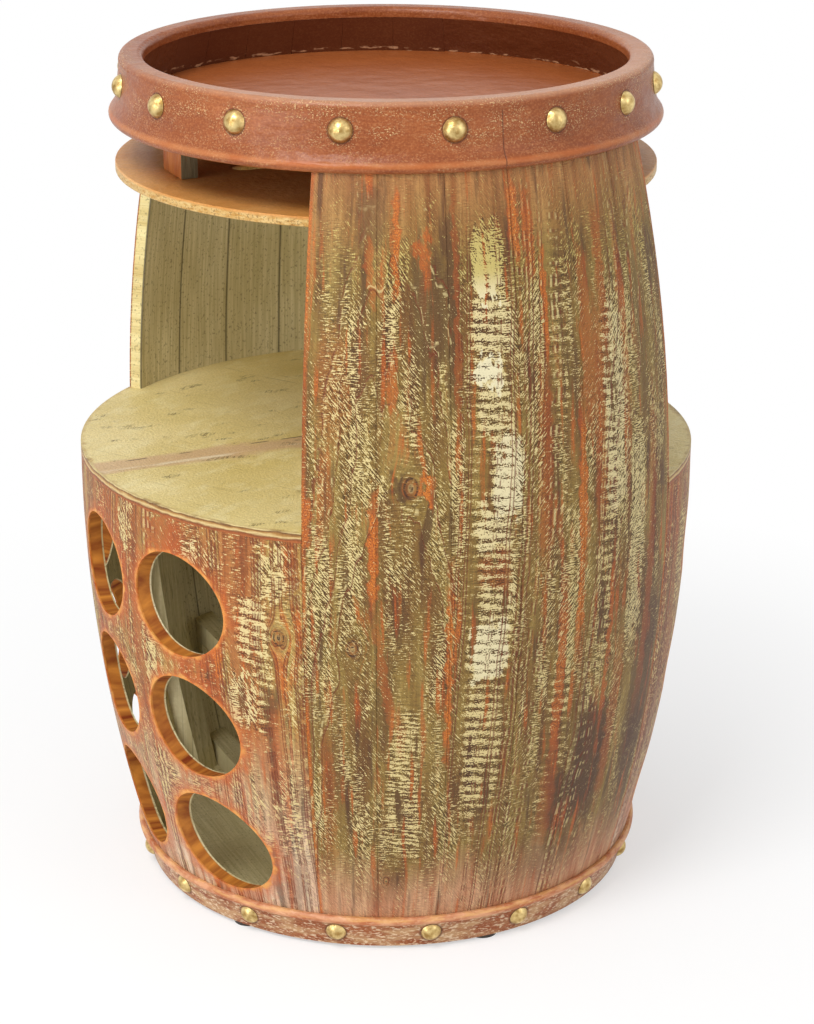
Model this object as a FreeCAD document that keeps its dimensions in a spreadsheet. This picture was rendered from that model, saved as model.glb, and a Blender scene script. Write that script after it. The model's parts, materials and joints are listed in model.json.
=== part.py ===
import FreeCAD, Part
import math
import os

import Sketcher

# Barrel-shaped rack for bottles and stemmed glasses, in millimetres.
# +Z is up and the origin is on the floor under the barrel's middle. The two solid
# walls face -Y (near) and +Y (far), the two open sides face -X (left) and +X (right).

SIZES = {
    # the barrel's bow and its walls
    "glide_height": 3,
    "stave_length": 700,
    "rim_height": 9,
    "belly_radius": 260,
    "foot_radius": 209,
    "stave_thick": 12.5,
    "stave_count": 28,
    "wall_stave_count": 6,
    "fit_gap": 0.2,
    "overrun": 15,
    # base board and the glides under it
    "base_thick": 18,
    "glide_radius": 12,
    "glide_inset": 10,
    "glide_count": 6,
    # base hoop
    "base_hoop_height": 30,
    "base_hoop_thick": 2.5,
    "base_bead_height": 7,
    "base_bead_rise": 3,
    # bottle bores, and the wood left between them and over them
    "bore_radius": 44,
    "row_gap": 21,
    "column_gap": 21,
    "panel_margin": 30,
    # rails that carry the bottles, and their cleats
    "low_rail_height": 20,
    "rail_width": 20,
    "rail_height": 20,
    "rail_angle": 31.5,
    "rail_cleat_height": 20,
    "rail_cleat_depth": 15,
    # battens in the four corners between panels and walls
    "corner_thick": 15,
    "corner_angle": 8,
    # shelf
    "shelf_thick": 8,
    "filler_width": 8,
    "filler_depth": 3,
    "batten_width": 60,
    "batten_thick": 18,
    # curved cleats that the shelf, the glass board and the tray floor rest on
    "cleat_thick": 15,
    "cleat_height": 15,
    "cleat_angle": 60,
    # glass board
    "glass_board_thick": 8,
    "glass_board_inset": 8,
    "hub_radius": 55,
    "slot_width": 16,
    "slot_reach": 127,
    "slot_count": 8,
    # spacer blocks between glass board and tray floor
    "spacer_height": 35,
    "spacer_width": 42,
    "spacer_depth": 14.5,
    "spacer_inset": 35.7,
    # tray
    "tray_depth": 40,
    "tray_floor_thick": 12,
    "tray_hoop_thick": 6.7,
    "tray_skirt_thick": 2.8,
    "tray_flare_height": 12,
    "tray_flare_hollow": 1,
    "tray_lip_thick": 4.7,
    "tray_foot_thick": 2,
    "tray_bead_height": 8,
    "tray_bead_rise": 2,
    "rim_lip": 0.3,
    "rim_round": 5,
    # dome nails of the two hoops
    "nail_shank_radius": 1.5,
    "tray_nail_count": 16,
    "tray_nail_radius": 9.5,
    "tray_nail_rise": 6.5,
    "tray_nail_margin": 2.5,
    "tray_nail_angle": -10.5,
    "base_nail_count": 17,
    "base_nail_radius": 8.5,
    "base_nail_rise": 5,
    "base_nail_margin": 1.5,
    "base_nail_angle": -14,
    # wood screws
    "screw_radius": 2,
    "screw_head_radius": 4,
    "screw_head_height": 2.5,
    "shelf_screw_bite": 14,
    "shelf_screw_reach": 131,
    "shelf_screw_inset": 18,
    "spacer_screw_bite": 7,
}

# Directions of the four sides, in degrees from +X, and the quarter turns between them.
QUARTER = 90
NEAR = -QUARTER
FAR = QUARTER
LEFT = 2 * QUARTER
RIGHT = 0

# Heights and angles that follow from the sizes.
STAVE_TOP = "(sizes.glide_height + sizes.stave_length)"
TOP = f"({STAVE_TOP} + sizes.rim_height)"
BELLY_HEIGHT = f"({TOP} / 2)"
BASE_TOP = "(sizes.glide_height + sizes.base_thick)"
LOW_ROW = f"({BASE_TOP} + sizes.low_rail_height + sizes.bore_radius)"
ROW_PITCH = "(2 * sizes.bore_radius + sizes.row_gap)"
COLUMN_PITCH = "(2 * sizes.bore_radius + sizes.column_gap)"
SHELF_UNDERSIDE = f"({LOW_ROW} + 2 * {ROW_PITCH} + sizes.bore_radius + sizes.panel_margin)"
SHELF_TOP = f"({SHELF_UNDERSIDE} + sizes.shelf_thick)"
TRAY_FLOOR_TOP = f"({TOP} - sizes.tray_depth)"
TRAY_UNDERSIDE = f"({TRAY_FLOOR_TOP} - sizes.tray_floor_thick)"
GLASS_BOARD_TOP = f"({TRAY_UNDERSIDE} - sizes.spacer_height)"
GLASS_UNDERSIDE = f"({GLASS_BOARD_TOP} - sizes.glass_board_thick)"
STAVE_ANGLE = "(360 / sizes.stave_count)"
WALL_ANGLE = f"({STAVE_ANGLE} * sizes.wall_stave_count)"
SIDE_ANGLE = f"(180 - {WALL_ANGLE})"

# Radius of the bow that the staves are bent to: it passes through foot and belly.
BOW_RISE = f"({BELLY_HEIGHT} - sizes.glide_height)"
BOW_DEPTH = "(sizes.belly_radius - sizes.foot_radius)"
BOW_RADIUS = f"(({BOW_RISE}^2 + {BOW_DEPTH}^2) / (2 * {BOW_DEPTH}))"

INNER_FACE = "sizes.stave_thick"
INSIDE = "(sizes.stave_thick + sizes.fit_gap)"


def bow(height, inset="0"):
    """Radius of the barrel at a height, on a face that lies inset inside the outer one."""
    reach = f"({BOW_RADIUS} - ({inset}))"
    rise = f"(({height}) - {BELLY_HEIGHT})"
    return f"(sqrt({reach}^2 - {rise}^2) - {BOW_RADIUS} + sizes.belly_radius)"


# Reaches from the middle that follow the barrel's bow.
RIM_OUTER = f"({bow(STAVE_TOP)} + sizes.tray_hoop_thick)"
RIM_INNER = f"({bow(STAVE_TOP, INNER_FACE)} - sizes.rim_lip)"
GLASS_BOARD_RADIUS = f"({bow(GLASS_BOARD_TOP)} - sizes.glass_board_inset)"
SPACER_REACH = f"({GLASS_BOARD_RADIUS} - sizes.spacer_inset)"
RAIL_REACH = f"({bow(BASE_TOP, INSIDE)} * sin(sizes.rail_angle))"
doc = FreeCAD.newDocument("barrel_rack")
sheet = doc.addObject("Spreadsheet::Sheet", "sizes")
for line, (word, number) in enumerate(SIZES.items(), start=1):
    sheet.set(f"A{line}", word)
    sheet.set(f"B{line}", str(number))
    sheet.setAlias(f"B{line}", word)
doc.recompute()

sub_parts = []
UP = FreeCAD.Vector(0, 0, 1)
ACROSS = FreeCAD.Vector(1, 0, 0)
ALONG = FreeCAD.Vector(0, 1, 0)


def value(expression):
    """Plain number that an expression of the sheet's sizes gives."""
    result = sheet.evalExpression(str(expression))
    return float(getattr(result, "Value", result))


def keep(thing):
    """Counts a finished piece among the sub-parts; its Label names its file."""
    sub_parts.append(thing)
    return thing


def arch(first, last, rise):
    """Radius of an arc between two (across, up) points that stands rise above its chord."""
    chord_squared = f"((({last[0]}) - ({first[0]}))^2 + (({last[1]}) - ({first[1]}))^2)"
    return f"(({chord_squared} / 4 + ({rise})^2) / (2 * ({rise})))"


def place(thing, across="0", along="0", up="0", turn="0", axis=UP):
    """Moves a piece to a point and turns it about one axis, both by expressions."""
    thing.Placement = FreeCAD.Placement(FreeCAD.Vector(), FreeCAD.Rotation(axis, value(turn)))
    thing.setExpression("Placement.Base.x", str(across))
    thing.setExpression("Placement.Base.y", str(along))
    thing.setExpression("Placement.Base.z", str(up))
    thing.setExpression("Placement.Rotation.Angle", str(turn))
    return thing


def box(name, across, along, up, corner):
    """Block of three sizes whose lowest corner lies at a point."""
    block = doc.addObject("Part::Box", name)
    block.setExpression("Length", across)
    block.setExpression("Width", along)
    block.setExpression("Height", up)
    return place(block, *corner)


def cylinder(name, radius, length, at, turn="0", axis=UP, sweep="360"):
    """Round bar or disc, along +Z unless turned."""
    bar = doc.addObject("Part::Cylinder", name)
    bar.setExpression("Radius", radius)
    bar.setExpression("Height", length)
    bar.setExpression("Angle", sweep)
    return place(bar, *at, turn, axis)


def common(name, base, tool):
    """What two shapes share."""
    shared = doc.addObject("Part::Common", name)
    shared.Base = base
    shared.Tool = tool
    return shared


def cut(name, base, *tools):
    """A shape less one tool or a fused group of tools."""
    trimmed = doc.addObject("Part::Cut", name)
    trimmed.Base = base
    trimmed.Tool = tools[0] if len(tools) == 1 else fuse(f"{name}_tools", *tools)
    return trimmed


def fuse(name, *shapes):
    """Several shapes as one tool."""
    joined = doc.addObject("Part::MultiFuse", name)
    joined.Shapes = list(shapes)
    return joined


def group(name, *shapes):
    """Several separate solids as one sub-part."""
    together = doc.addObject("Part::Compound", name)
    together.Links = list(shapes)
    return together


def sketch_on(body, name, role, across="0", up="0", turn="0"):
    """Sketch on one of the body's own origin planes, shifted and turned in that plane."""
    plane = next(feature for feature in body.Origin.OriginFeatures if feature.Role == role)
    sketch = body.newObject("Sketcher::SketchObject", name)
    sketch.AttachmentSupport = (plane, [""])
    sketch.MapMode = "FlatFace"
    sketch.AttachmentOffset = FreeCAD.Placement(FreeCAD.Vector(), FreeCAD.Rotation(UP, value(turn)))
    sketch.setExpression("AttachmentOffset.Base.x", across)
    sketch.setExpression("AttachmentOffset.Base.y", up)
    sketch.setExpression("AttachmentOffset.Rotation.Angle", turn)
    return sketch


def hold(sketch, kind, *where, size):
    """Adds one driven dimension to a sketch."""
    index = sketch.addConstraint(Sketcher.Constraint(kind, *where, value(size)))
    sketch.setExpression(f"Constraints[{index}]", size)


def arc_between(first, last, radius):
    """Arc from first to last, bulging to the right of that run, and whether it is reversed."""
    chord = last - first
    half = chord.Length / 2
    middle = (first + last) / 2
    side = FreeCAD.Vector(chord.y, -chord.x, 0).normalize()
    centre = middle - side * math.sqrt(max(radius**2 - half**2, 0))
    start = math.atan2(first.y - centre.y, first.x - centre.x)
    end = math.atan2(last.y - centre.y, last.x - centre.x)
    return Part.ArcOfCircle(Part.Circle(centre, UP, radius), start, end)


def outline(sketch, corners):
    """Closed outline, counter-clockwise, through (across, up[, radius]) corners.

    A corner with a radius starts an arc that bulges outward, one without starts a line.
    A negative radius makes the arc bulge inward.
    """
    spots = [FreeCAD.Vector(value(corner[0]), value(corner[1]), 0) for corner in corners]
    ends = []
    for index, corner in enumerate(corners):
        first, last = spots[index], spots[(index + 1) % len(spots)]
        if len(corner) == 2:
            sketch.addGeometry(Part.LineSegment(first, last))
            ends.append((1, 2))
            continue
        radius = value(corner[2])
        if radius > 0:
            sketch.addGeometry(arc_between(first, last, radius))
            ends.append((1, 2))
        else:
            sketch.addGeometry(arc_between(last, first, -radius))
            ends.append((2, 1))
    for index, corner in enumerate(corners):
        follower = (index + 1) % len(corners)
        sketch.addConstraint(
            Sketcher.Constraint("Coincident", index, ends[index][1], follower, ends[follower][0])
        )
        for kind, axis, size in (("DistanceX", -2, corner[0]), ("DistanceY", -1, corner[1])):
            if size == "0":
                sketch.addConstraint(Sketcher.Constraint("PointOnObject", index, ends[index][0], axis))
            else:
                hold(sketch, kind, -1, 1, index, ends[index][0], size=size)
        if len(corner) == 3:
            hold(sketch, "Radius", index, size=corner[2].lstrip("-"))
    return sketch


def new_body(name):
    """Empty body whose Label is its node name."""
    return doc.addObject("PartDesign::Body", name)


def spin(body, sketch, axis="V_Axis", angle="360", hollow=False):
    """Revolves a sketch about one of its own axes, to both sides alike."""
    kind = "Groove" if hollow else "Revolution"
    feature = body.newObject(f"PartDesign::{kind}", f"{sketch.Name}_{kind.lower()}")
    feature.Profile = sketch
    feature.ReferenceAxis = (sketch, [axis])
    feature.Midplane = True
    feature.setExpression("Angle", angle)
    return feature


def repeat(body, feature, count):
    """Repeats a feature about the body's own upright axis."""
    axis = next(item for item in body.Origin.OriginFeatures if item.Role == "Z_Axis")
    pattern = body.newObject("PartDesign::PolarPattern", f"{feature.Name}_ring")
    pattern.Originals = [feature]
    pattern.Axis = (axis, [""])
    pattern.Angle = 360
    pattern.setExpression("Occurrences", count)
    body.Tip = pattern
    return pattern


def bowed_piece(name, outer, inner, low, high, angle, facing):
    """Piece of the barrel's bowed shell, between two insets, two heights and two radial cuts."""
    body = new_body(name)
    corners = [
        (bow(low, inner), low),
        (bow(low, outer), low, f"({BOW_RADIUS} - ({outer}))"),
        (bow(high, outer), high),
        (bow(high, inner), high, f"-({BOW_RADIUS} - ({inner}))"),
    ]
    spin(body, outline(sketch_on(body, f"{name}_section", "XZ_Plane"), corners), angle=angle)
    return place(body, turn=facing)


def solid_inside(name, low, high):
    """All of the barrel's room inside the staves, less the fit, between two heights."""
    body = new_body(name)
    corners = [
        ("0", low),
        (bow(low, INSIDE), low, f"({BOW_RADIUS} - {INSIDE})"),
        (bow(high, INSIDE), high),
        ("0", high),
    ]
    spin(body, outline(sketch_on(body, f"{name}_section", "XZ_Plane"), corners))
    return body


def side_sign(side):
    """-1 for the left or near side, 1 for the right or far one."""
    return "-1" if side in ("left", "near") else "1"


def lowest_edge(side, reach, depth):
    """Lower edge of a block whose outer face lies reach from the middle, on one side."""
    return f"(-({reach}))" if side in ("left", "near") else f"(({reach}) - ({depth}))"


def walls():
    """Two runs of full-height staves."""
    for run, facing in (("near", NEAR), ("far", FAR)):
        for place_in_run in range(round(value("sizes.wall_stave_count"))):
            centre = f"({place_in_run} - (sizes.wall_stave_count - 1) / 2) * {STAVE_ANGLE} + {facing}"
            keep(
                bowed_piece(
                    f"{run}_stave_{place_in_run + 1}",
                    "0", INNER_FACE, "sizes.glide_height", STAVE_TOP, STAVE_ANGLE, centre,
                )
            )


def bottle_panels():
    """Coopered panels under the shelf, each bored for three rows of three bottles.

    A panel is four boards, and each column of bores is centred on a joint between two of them.
    """
    joints = ("-sizes.belly_radius", f"-{COLUMN_PITCH}", "0", COLUMN_PITCH, "sizes.belly_radius")
    for side, facing in (("left", LEFT), ("right", RIGHT)):
        blank = bowed_piece(
            f"{side}_panel_blank",
            "0", INNER_FACE, "sizes.glide_height", SHELF_UNDERSIDE, SIDE_ANGLE, str(facing),
        )
        bores = [
            cylinder(
                f"{side}_bore_{row + 1}_{column + 2}",
                "sizes.bore_radius",
                "sizes.belly_radius + sizes.overrun",
                ("0", f"{column} * {COLUMN_PITCH}", f"{LOW_ROW} + {row} * {ROW_PITCH}"),
                turn=f"{side_sign(side)} * {QUARTER}",
                axis=ALONG,
            )
            for row in range(3)
            for column in (-1, 0, 1)
        ]
        bored = cut(f"{side}_panel_bored", blank, *bores)
        for board, (first, last) in enumerate(zip(joints, joints[1:]), start=1):
            slab = box(
                f"{side}_board_{board}_slab",
                "2 * sizes.belly_radius", f"{last} - ({first})", f"{SHELF_UNDERSIDE} + sizes.overrun",
                ("-sizes.belly_radius", first, "0"),
            )
            keep(common(f"{side}_panel_board_{board}", bored, slab))


def head_pieces():
    """Short stave ends over the two openings, inside the tray's hoop."""
    for side, facing in (("left", LEFT), ("right", RIGHT)):
        keep(
            bowed_piece(
                f"{side}_head_piece",
                "0", INNER_FACE, TRAY_UNDERSIDE, STAVE_TOP, SIDE_ANGLE, str(facing),
            )
        )


def base():
    """Base board inside the staves' feet, and the glides that the barrel stands on."""
    foot = ("0", "0", "sizes.glide_height")
    disc = cylinder("base_disc", "sizes.belly_radius", "sizes.base_thick", foot)
    keep(common("base_board", disc, inside))
    glides = new_body("base_glides")
    sketch = sketch_on(glides, "glide_circle", "XY_Plane")
    start = FreeCAD.Vector(value("sizes.foot_radius"), 0, 0)
    sketch.addGeometry(Part.Circle(start, UP, value("sizes.glide_radius")))
    sketch.addConstraint(Sketcher.Constraint("PointOnObject", 0, 3, -1))
    hold(sketch, "DistanceX", -1, 1, 0, 3, size="sizes.foot_radius - sizes.glide_inset")
    hold(sketch, "Radius", 0, size="sizes.glide_radius")
    pad = glides.newObject("PartDesign::Pad", "glide_pad")
    pad.Profile = sketch
    pad.setExpression("Length", "sizes.glide_height")
    repeat(glides, pad, "sizes.glide_count")
    keep(place(glides, turn=str(NEAR)))


def hoop(name, corners, nail_count, nail_at, nail_tilt, nail_turn):
    """Ring round the staves with a hole for each of its dome nails."""
    body = new_body(name)
    spin(body, outline(sketch_on(body, f"{name}_section", "XZ_Plane"), corners))
    hole = sketch_on(body, f"{name}_hole", "XZ_Plane", nail_at[0], nail_at[1], nail_tilt)
    wide = "(sizes.nail_shank_radius + sizes.fit_gap / 2)"
    outline(
        hole,
        [
            ("(-sizes.overrun)", "0"),
            ("sizes.overrun", "0"),
            ("sizes.overrun", wide),
            ("(-sizes.overrun)", wide),
        ],
    )
    repeat(body, spin(body, hole, axis="H_Axis", hollow=True), nail_count)
    return keep(place(body, turn=f"{NEAR} + {nail_turn}"))


def dome_nails(name, radius, rise, nail_count, nail_at, nail_tilt, nail_turn):
    """Ring of round-headed nails, their shanks in the hoop's holes and short of the staves."""
    body = new_body(name)
    shank = f"({nail_at[0]} - {bow(nail_at[1])} - 3 * sizes.fit_gap)"
    section = sketch_on(body, f"{name}_section", "XZ_Plane", nail_at[0], nail_at[1], nail_tilt)
    outline(
        section,
        [
            (f"(-{shank})", "0"),
            (rise, "0", f"((({radius})^2 + ({rise})^2) / (2 * ({rise})))"),
            ("0", radius),
            ("0", "sizes.nail_shank_radius"),
            (f"(-{shank})", "sizes.nail_shank_radius"),
        ],
    )
    repeat(body, spin(body, section, axis="H_Axis"), nail_count)
    return keep(place(body, turn=f"{NEAR} + {nail_turn}"))


def base_hoop():
    """Base hoop, with its bead at the upper edge, and its nails."""
    face = "(-(sizes.base_hoop_thick))"
    seat = "(-(sizes.fit_gap))"
    low = "sizes.glide_height"
    high = "(sizes.glide_height + sizes.base_hoop_height)"
    shoulder = f"({high} - sizes.base_bead_height)"
    bead_foot = (bow(shoulder, face), shoulder)
    bead_top = (bow(high, face), high)
    corners = [
        (bow(low, seat), low),
        (bow(low, face), low),
        (*bead_foot, arch(bead_foot, bead_top, "sizes.base_bead_rise")),
        bead_top,
        (bow(high, seat), high, f"-({BOW_RADIUS} + sizes.fit_gap)"),
    ]
    slope = f"(({bow(shoulder, face)} - {bow(low, face)}) / ({shoulder} - {low}))"
    nail_height = f"({shoulder} - sizes.base_nail_radius - sizes.base_nail_margin)"
    nail_at = (f"({bow(low, face)} + {slope} * ({nail_height} - {low}))", nail_height)
    tilt = f"(-atan({slope}))"
    nails = ("sizes.base_nail_count", nail_at, tilt, "sizes.base_nail_angle")
    hoop("base_hoop", corners, *nails)
    dome_nails("base_nails", "sizes.base_nail_radius", "sizes.base_nail_rise", *nails)


def tray_hoop():
    """Tray hoop, its face flared in a hollow curve to a bead at its lower edge, and its nails."""
    seat = "(-(sizes.fit_gap))"
    lip = f"({TRAY_UNDERSIDE} + sizes.tray_bead_height)"
    shoulder = f"({lip} + sizes.tray_flare_height)"
    skirt = f"({bow(shoulder)} + sizes.tray_skirt_thick)"
    bead_foot = (f"({bow(TRAY_UNDERSIDE)} + sizes.tray_foot_thick)", TRAY_UNDERSIDE)
    bead_top = (f"({bow(lip)} + sizes.tray_lip_thick)", lip)
    flare_top = (skirt, shoulder)
    corners = [
        (bow(TRAY_UNDERSIDE, seat), TRAY_UNDERSIDE),
        (*bead_foot, arch(bead_foot, bead_top, "sizes.tray_bead_rise")),
        (*bead_top, f"-{arch(bead_top, flare_top, 'sizes.tray_flare_hollow')}"),
        flare_top,
        (RIM_OUTER, STAVE_TOP),
        (bow(STAVE_TOP, seat), STAVE_TOP, f"-({BOW_RADIUS} + sizes.fit_gap)"),
    ]
    slope = f"(({skirt} - {RIM_OUTER}) / ({STAVE_TOP} - {shoulder}))"
    nail_drop = "(sizes.tray_nail_radius + sizes.tray_nail_margin)"
    nail_at = (f"({RIM_OUTER} + {slope} * {nail_drop})", f"({STAVE_TOP} - {nail_drop})")
    tilt = f"atan({slope})"
    nails = ("sizes.tray_nail_count", nail_at, tilt, "sizes.tray_nail_angle")
    hoop("tray_hoop", corners, *nails)
    dome_nails("tray_nails", "sizes.tray_nail_radius", "sizes.tray_nail_rise", *nails)


def rim():
    """Rounded cap on the ends of staves, head pieces and hoop."""
    body = new_body("tray_rim")
    shoulder = f"({TOP} - sizes.rim_round)"
    outline(
        sketch_on(body, "rim_section", "XZ_Plane"),
        [
            (RIM_INNER, STAVE_TOP),
            (RIM_OUTER, STAVE_TOP),
            (RIM_OUTER, shoulder, "sizes.rim_round"),
            (f"({RIM_OUTER} - sizes.rim_round)", TOP),
            (f"({RIM_INNER} + sizes.rim_round)", TOP, "sizes.rim_round"),
            (RIM_INNER, shoulder),
        ],
    )
    spin(body, doc.getObject("rim_section"))
    keep(body)


def rails():
    """Two cross rails to each row of bottles, the upper ones on glued cleats."""
    cleats = []
    for row, level in enumerate(("low", "middle", "upper")):
        top = f"({LOW_ROW} + {row} * {ROW_PITCH} - sizes.bore_radius)"
        tall = "sizes.rail_height" if row else "sizes.low_rail_height"
        for side in ("left", "right"):
            edge = lowest_edge(side, RAIL_REACH, "sizes.rail_width")
            bar = box(
                f"{level}_{side}_bar",
                "sizes.rail_width", "2 * sizes.belly_radius", tall,
                (edge, "-sizes.belly_radius", f"{top} - {tall}"),
            )
            keep(common(f"{level}_{side}_rail", bar, inside))
            if row:
                cleats += rail_cleats(f"{level}_{side}", edge, f"({top} - {tall})")
    keep(common("rail_cleats", group("rail_cleat_blocks", *cleats), inside))


def rail_cleats(name, edge, top):
    """Blocks under the two ends of one rail, reaching past the wall's inner face."""
    blocks = []
    reach = f"sqrt({bow(top, INSIDE)}^2 - {RAIL_REACH}^2)"
    for end in ("near", "far"):
        span = "(sizes.rail_cleat_depth + sizes.stave_thick)"
        outer = f"({reach} + sizes.stave_thick)"
        blocks.append(
            box(
                f"{name}_{end}_cleat_block",
                "sizes.rail_width", span, "sizes.rail_cleat_height",
                (edge, lowest_edge(end, outer, span), f"{top} - sizes.rail_cleat_height"),
            )
        )
    return blocks


def corner_battens():
    """Upright battens behind the four joints between walls and bottle panels."""
    inner = f"({INSIDE} + sizes.corner_thick)"
    for run, facing in (("near", NEAR), ("far", FAR)):
        for side in ("left", "right"):
            towards = "-1" if (run == "near") == (side == "left") else "1"
            keep(
                bowed_piece(
                    f"{run}_{side}_corner_batten",
                    INSIDE, inner, BASE_TOP, SHELF_UNDERSIDE, "sizes.corner_angle",
                    f"{facing} + {towards} * {WALL_ANGLE} / 2",
                )
            )


def curved_cleats(name, top, tall):
    """Curved cleat on the inside of each wall, under a board."""
    inner = f"({INSIDE} + sizes.cleat_thick)"
    foot = f"({top} - {tall})"
    for run, facing in (("near", NEAR), ("far", FAR)):
        keep(bowed_piece(f"{run}_{name}_cleat", INSIDE, inner, foot, top, "sizes.cleat_angle", str(facing)))


def screw(name, length, at, gap="0", point_up=True):
    """Countersunk wood screw with its head's flat at a point; gap makes it the hole for one."""
    body = new_body(name)
    thin = f"(sizes.screw_radius + {gap})"
    outline(
        sketch_on(body, f"{name}_section", "XZ_Plane"),
        [
            ("0", "0"),
            (f"(sizes.screw_head_radius + {gap})", "0"),
            (thin, "sizes.screw_head_height"),
            (thin, f"({length} - sizes.screw_radius)"),
            ("0", f"({length} + {gap})"),
        ],
    )
    spin(body, doc.getObject(f"{name}_section"))
    return place(body, *at, turn="0" if point_up else "180", axis=ACROSS)


def shelf():
    """Round shelf of two boards with a filled joint, its batten and its screws."""
    length = "(sizes.shelf_thick + sizes.shelf_screw_bite)"
    at = [
        (f"{x} * sizes.shelf_screw_reach", f"{y} * sizes.shelf_screw_inset", SHELF_TOP)
        for x in (-1, 1)
        for y in (-1, 1)
    ]
    screws = [screw(f"shelf_screw_{i}", length, spot, point_up=False) for i, spot in enumerate(at, 1)]
    holes = [
        screw(f"shelf_hole_{i}", length, spot, "sizes.fit_gap / 2", point_up=False)
        for i, spot in enumerate(at, 1)
    ]
    keep(group("shelf_screws", *screws))
    groove_reach = "(sizes.belly_radius + sizes.overrun)"
    groove_floor = f"({SHELF_TOP} - sizes.filler_depth)"
    groove = box(
        "filler_groove",
        f"2 * {groove_reach}", "sizes.filler_width", "sizes.filler_depth + sizes.overrun",
        (f"-{groove_reach}", "-sizes.filler_width / 2", groove_floor),
    )
    for run, turn in (("near", "180"), ("far", "0")):
        half = cylinder(
            f"shelf_{run}_half", "sizes.belly_radius", "sizes.shelf_thick", ("0", "0", SHELF_UNDERSIDE),
            turn=turn, sweep="180",
        )
        keep(cut(f"shelf_{run}_board", half, wall_space[run], groove, *holes))
    strip = box(
        "filler_strip",
        "2 * sizes.belly_radius", "sizes.filler_width", "sizes.filler_depth",
        ("-sizes.belly_radius", "-sizes.filler_width / 2", groove_floor),
    )
    disc = cylinder("filler_disc", "sizes.belly_radius", SHELF_TOP, ("0", "0", "0"))
    keep(common("shelf_filler", strip, disc))
    bar = box(
        "shelf_batten_bar",
        "2 * sizes.belly_radius", "sizes.batten_width", "sizes.batten_thick",
        ("-sizes.belly_radius", "-sizes.batten_width / 2", f"{SHELF_UNDERSIDE} - sizes.batten_thick"),
    )
    keep(cut("shelf_batten", common("shelf_batten_blank", bar, inside), *holes))
    curved_cleats("shelf", SHELF_UNDERSIDE, "sizes.batten_thick")


def glass_board():
    """Round board with keyed slots for stems, trimmed where the walls pass it."""
    body = new_body("glass_board_blank")
    disc = sketch_on(body, "glass_disc", "XY_Plane")
    for ring, radius in enumerate((GLASS_BOARD_RADIUS, "sizes.hub_radius")):
        disc.addGeometry(Part.Circle(FreeCAD.Vector(), UP, value(radius)))
        disc.addConstraint(Sketcher.Constraint("Coincident", ring, 3, -1, 1))
        hold(disc, "Radius", ring, size=radius)
    pad = body.newObject("PartDesign::Pad", "glass_disc_pad")
    pad.Profile = disc
    pad.setExpression("Length", "sizes.glass_board_thick")
    half = "(sizes.slot_width / 2)"
    slot = outline(
        sketch_on(body, "stem_slot", "XY_Plane"),
        [
            ("0", f"(-{half})"),
            ("sizes.slot_reach", f"(-{half})", half),
            (f"(sizes.slot_reach + {half})", "0", half),
            ("sizes.slot_reach", half),
            ("0", half),
        ],
    )
    pocket = body.newObject("PartDesign::Pocket", "stem_slot_pocket")
    pocket.Profile = slot
    pocket.Midplane = True
    pocket.Type = "ThroughAll"
    repeat(body, pocket, "sizes.slot_count")
    place(body, up=GLASS_UNDERSIDE)
    keep(cut("glass_board", body, wall_space["near"], wall_space["far"], *spacer_holes))
    curved_cleats("glass", GLASS_UNDERSIDE, "sizes.cleat_height")


def spacers():
    """Blocks that hang the glass board from the tray floor, one in each opening."""
    for side in ("left", "right"):
        block = box(
            f"{side}_spacer_blank",
            "sizes.spacer_depth", "sizes.spacer_width", "sizes.spacer_height",
            (
                lowest_edge(side, SPACER_REACH, "sizes.spacer_depth"),
                "-sizes.spacer_width / 2",
                GLASS_BOARD_TOP,
            ),
        )
        keep(cut(f"{side}_spacer", block, *spacer_holes))
    keep(group("spacer_screws", *spacer_screws))


def tray_floor():
    """Floor of the tray, with its cleats on the walls."""
    disc = cylinder("tray_disc", "sizes.belly_radius", "sizes.tray_floor_thick", ("0", "0", TRAY_UNDERSIDE))
    keep(cut("tray_floor", common("tray_floor_blank", disc, inside), *spacer_holes))
    curved_cleats("tray", TRAY_UNDERSIDE, "sizes.cleat_height")


inside = solid_inside("inside", "sizes.glide_height", STAVE_TOP)
wall_space = {
    run: bowed_piece(
        f"{run}_wall_space",
        "(-sizes.overrun)", INSIDE, "sizes.glide_height", STAVE_TOP, WALL_ANGLE, str(facing),
    )
    for run, facing in (("near", NEAR), ("far", FAR))
}
spacer_spots = [
    (f"{side_sign(side)} * ({SPACER_REACH} - sizes.spacer_depth / 2)", "0", GLASS_UNDERSIDE)
    for side in ("left", "right")
]
spacer_screw_length = "(sizes.glass_board_thick + sizes.spacer_height + sizes.spacer_screw_bite)"
spacer_screws = [screw(f"spacer_screw_{i}", spacer_screw_length, at) for i, at in enumerate(spacer_spots, 1)]
spacer_holes = [
    screw(f"spacer_hole_{i}", spacer_screw_length, at, "sizes.fit_gap / 2")
    for i, at in enumerate(spacer_spots, 1)
]

walls()
bottle_panels()
head_pieces()
base()
base_hoop()
rails()
corner_battens()
shelf()
glass_board()
spacers()
tray_floor()
tray_hoop()
rim()
doc.recompute()

faulty = [item.Label for item in doc.Objects if {"Invalid", "Error"} & set(item.State)]
if faulty:
    raise RuntimeError(f"failed features: {faulty}")
for part in sub_parts:
    if part.Shape.isNull() or not part.Shape.isValid() or not part.Shape.Solids:
        raise RuntimeError(f"bad shape: {part.Label}")

os.makedirs("parts", exist_ok=True)
for part in sub_parts:
    part.Shape.exportStep(f"parts/{part.Label}.step")
    print(part.Label, len(part.Shape.Solids), round(part.Shape.Volume))
print(len(sub_parts), "sub-parts")
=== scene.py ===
import json
import math
from functools import partial

import bpy
from mathutils import Matrix, Vector


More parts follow.
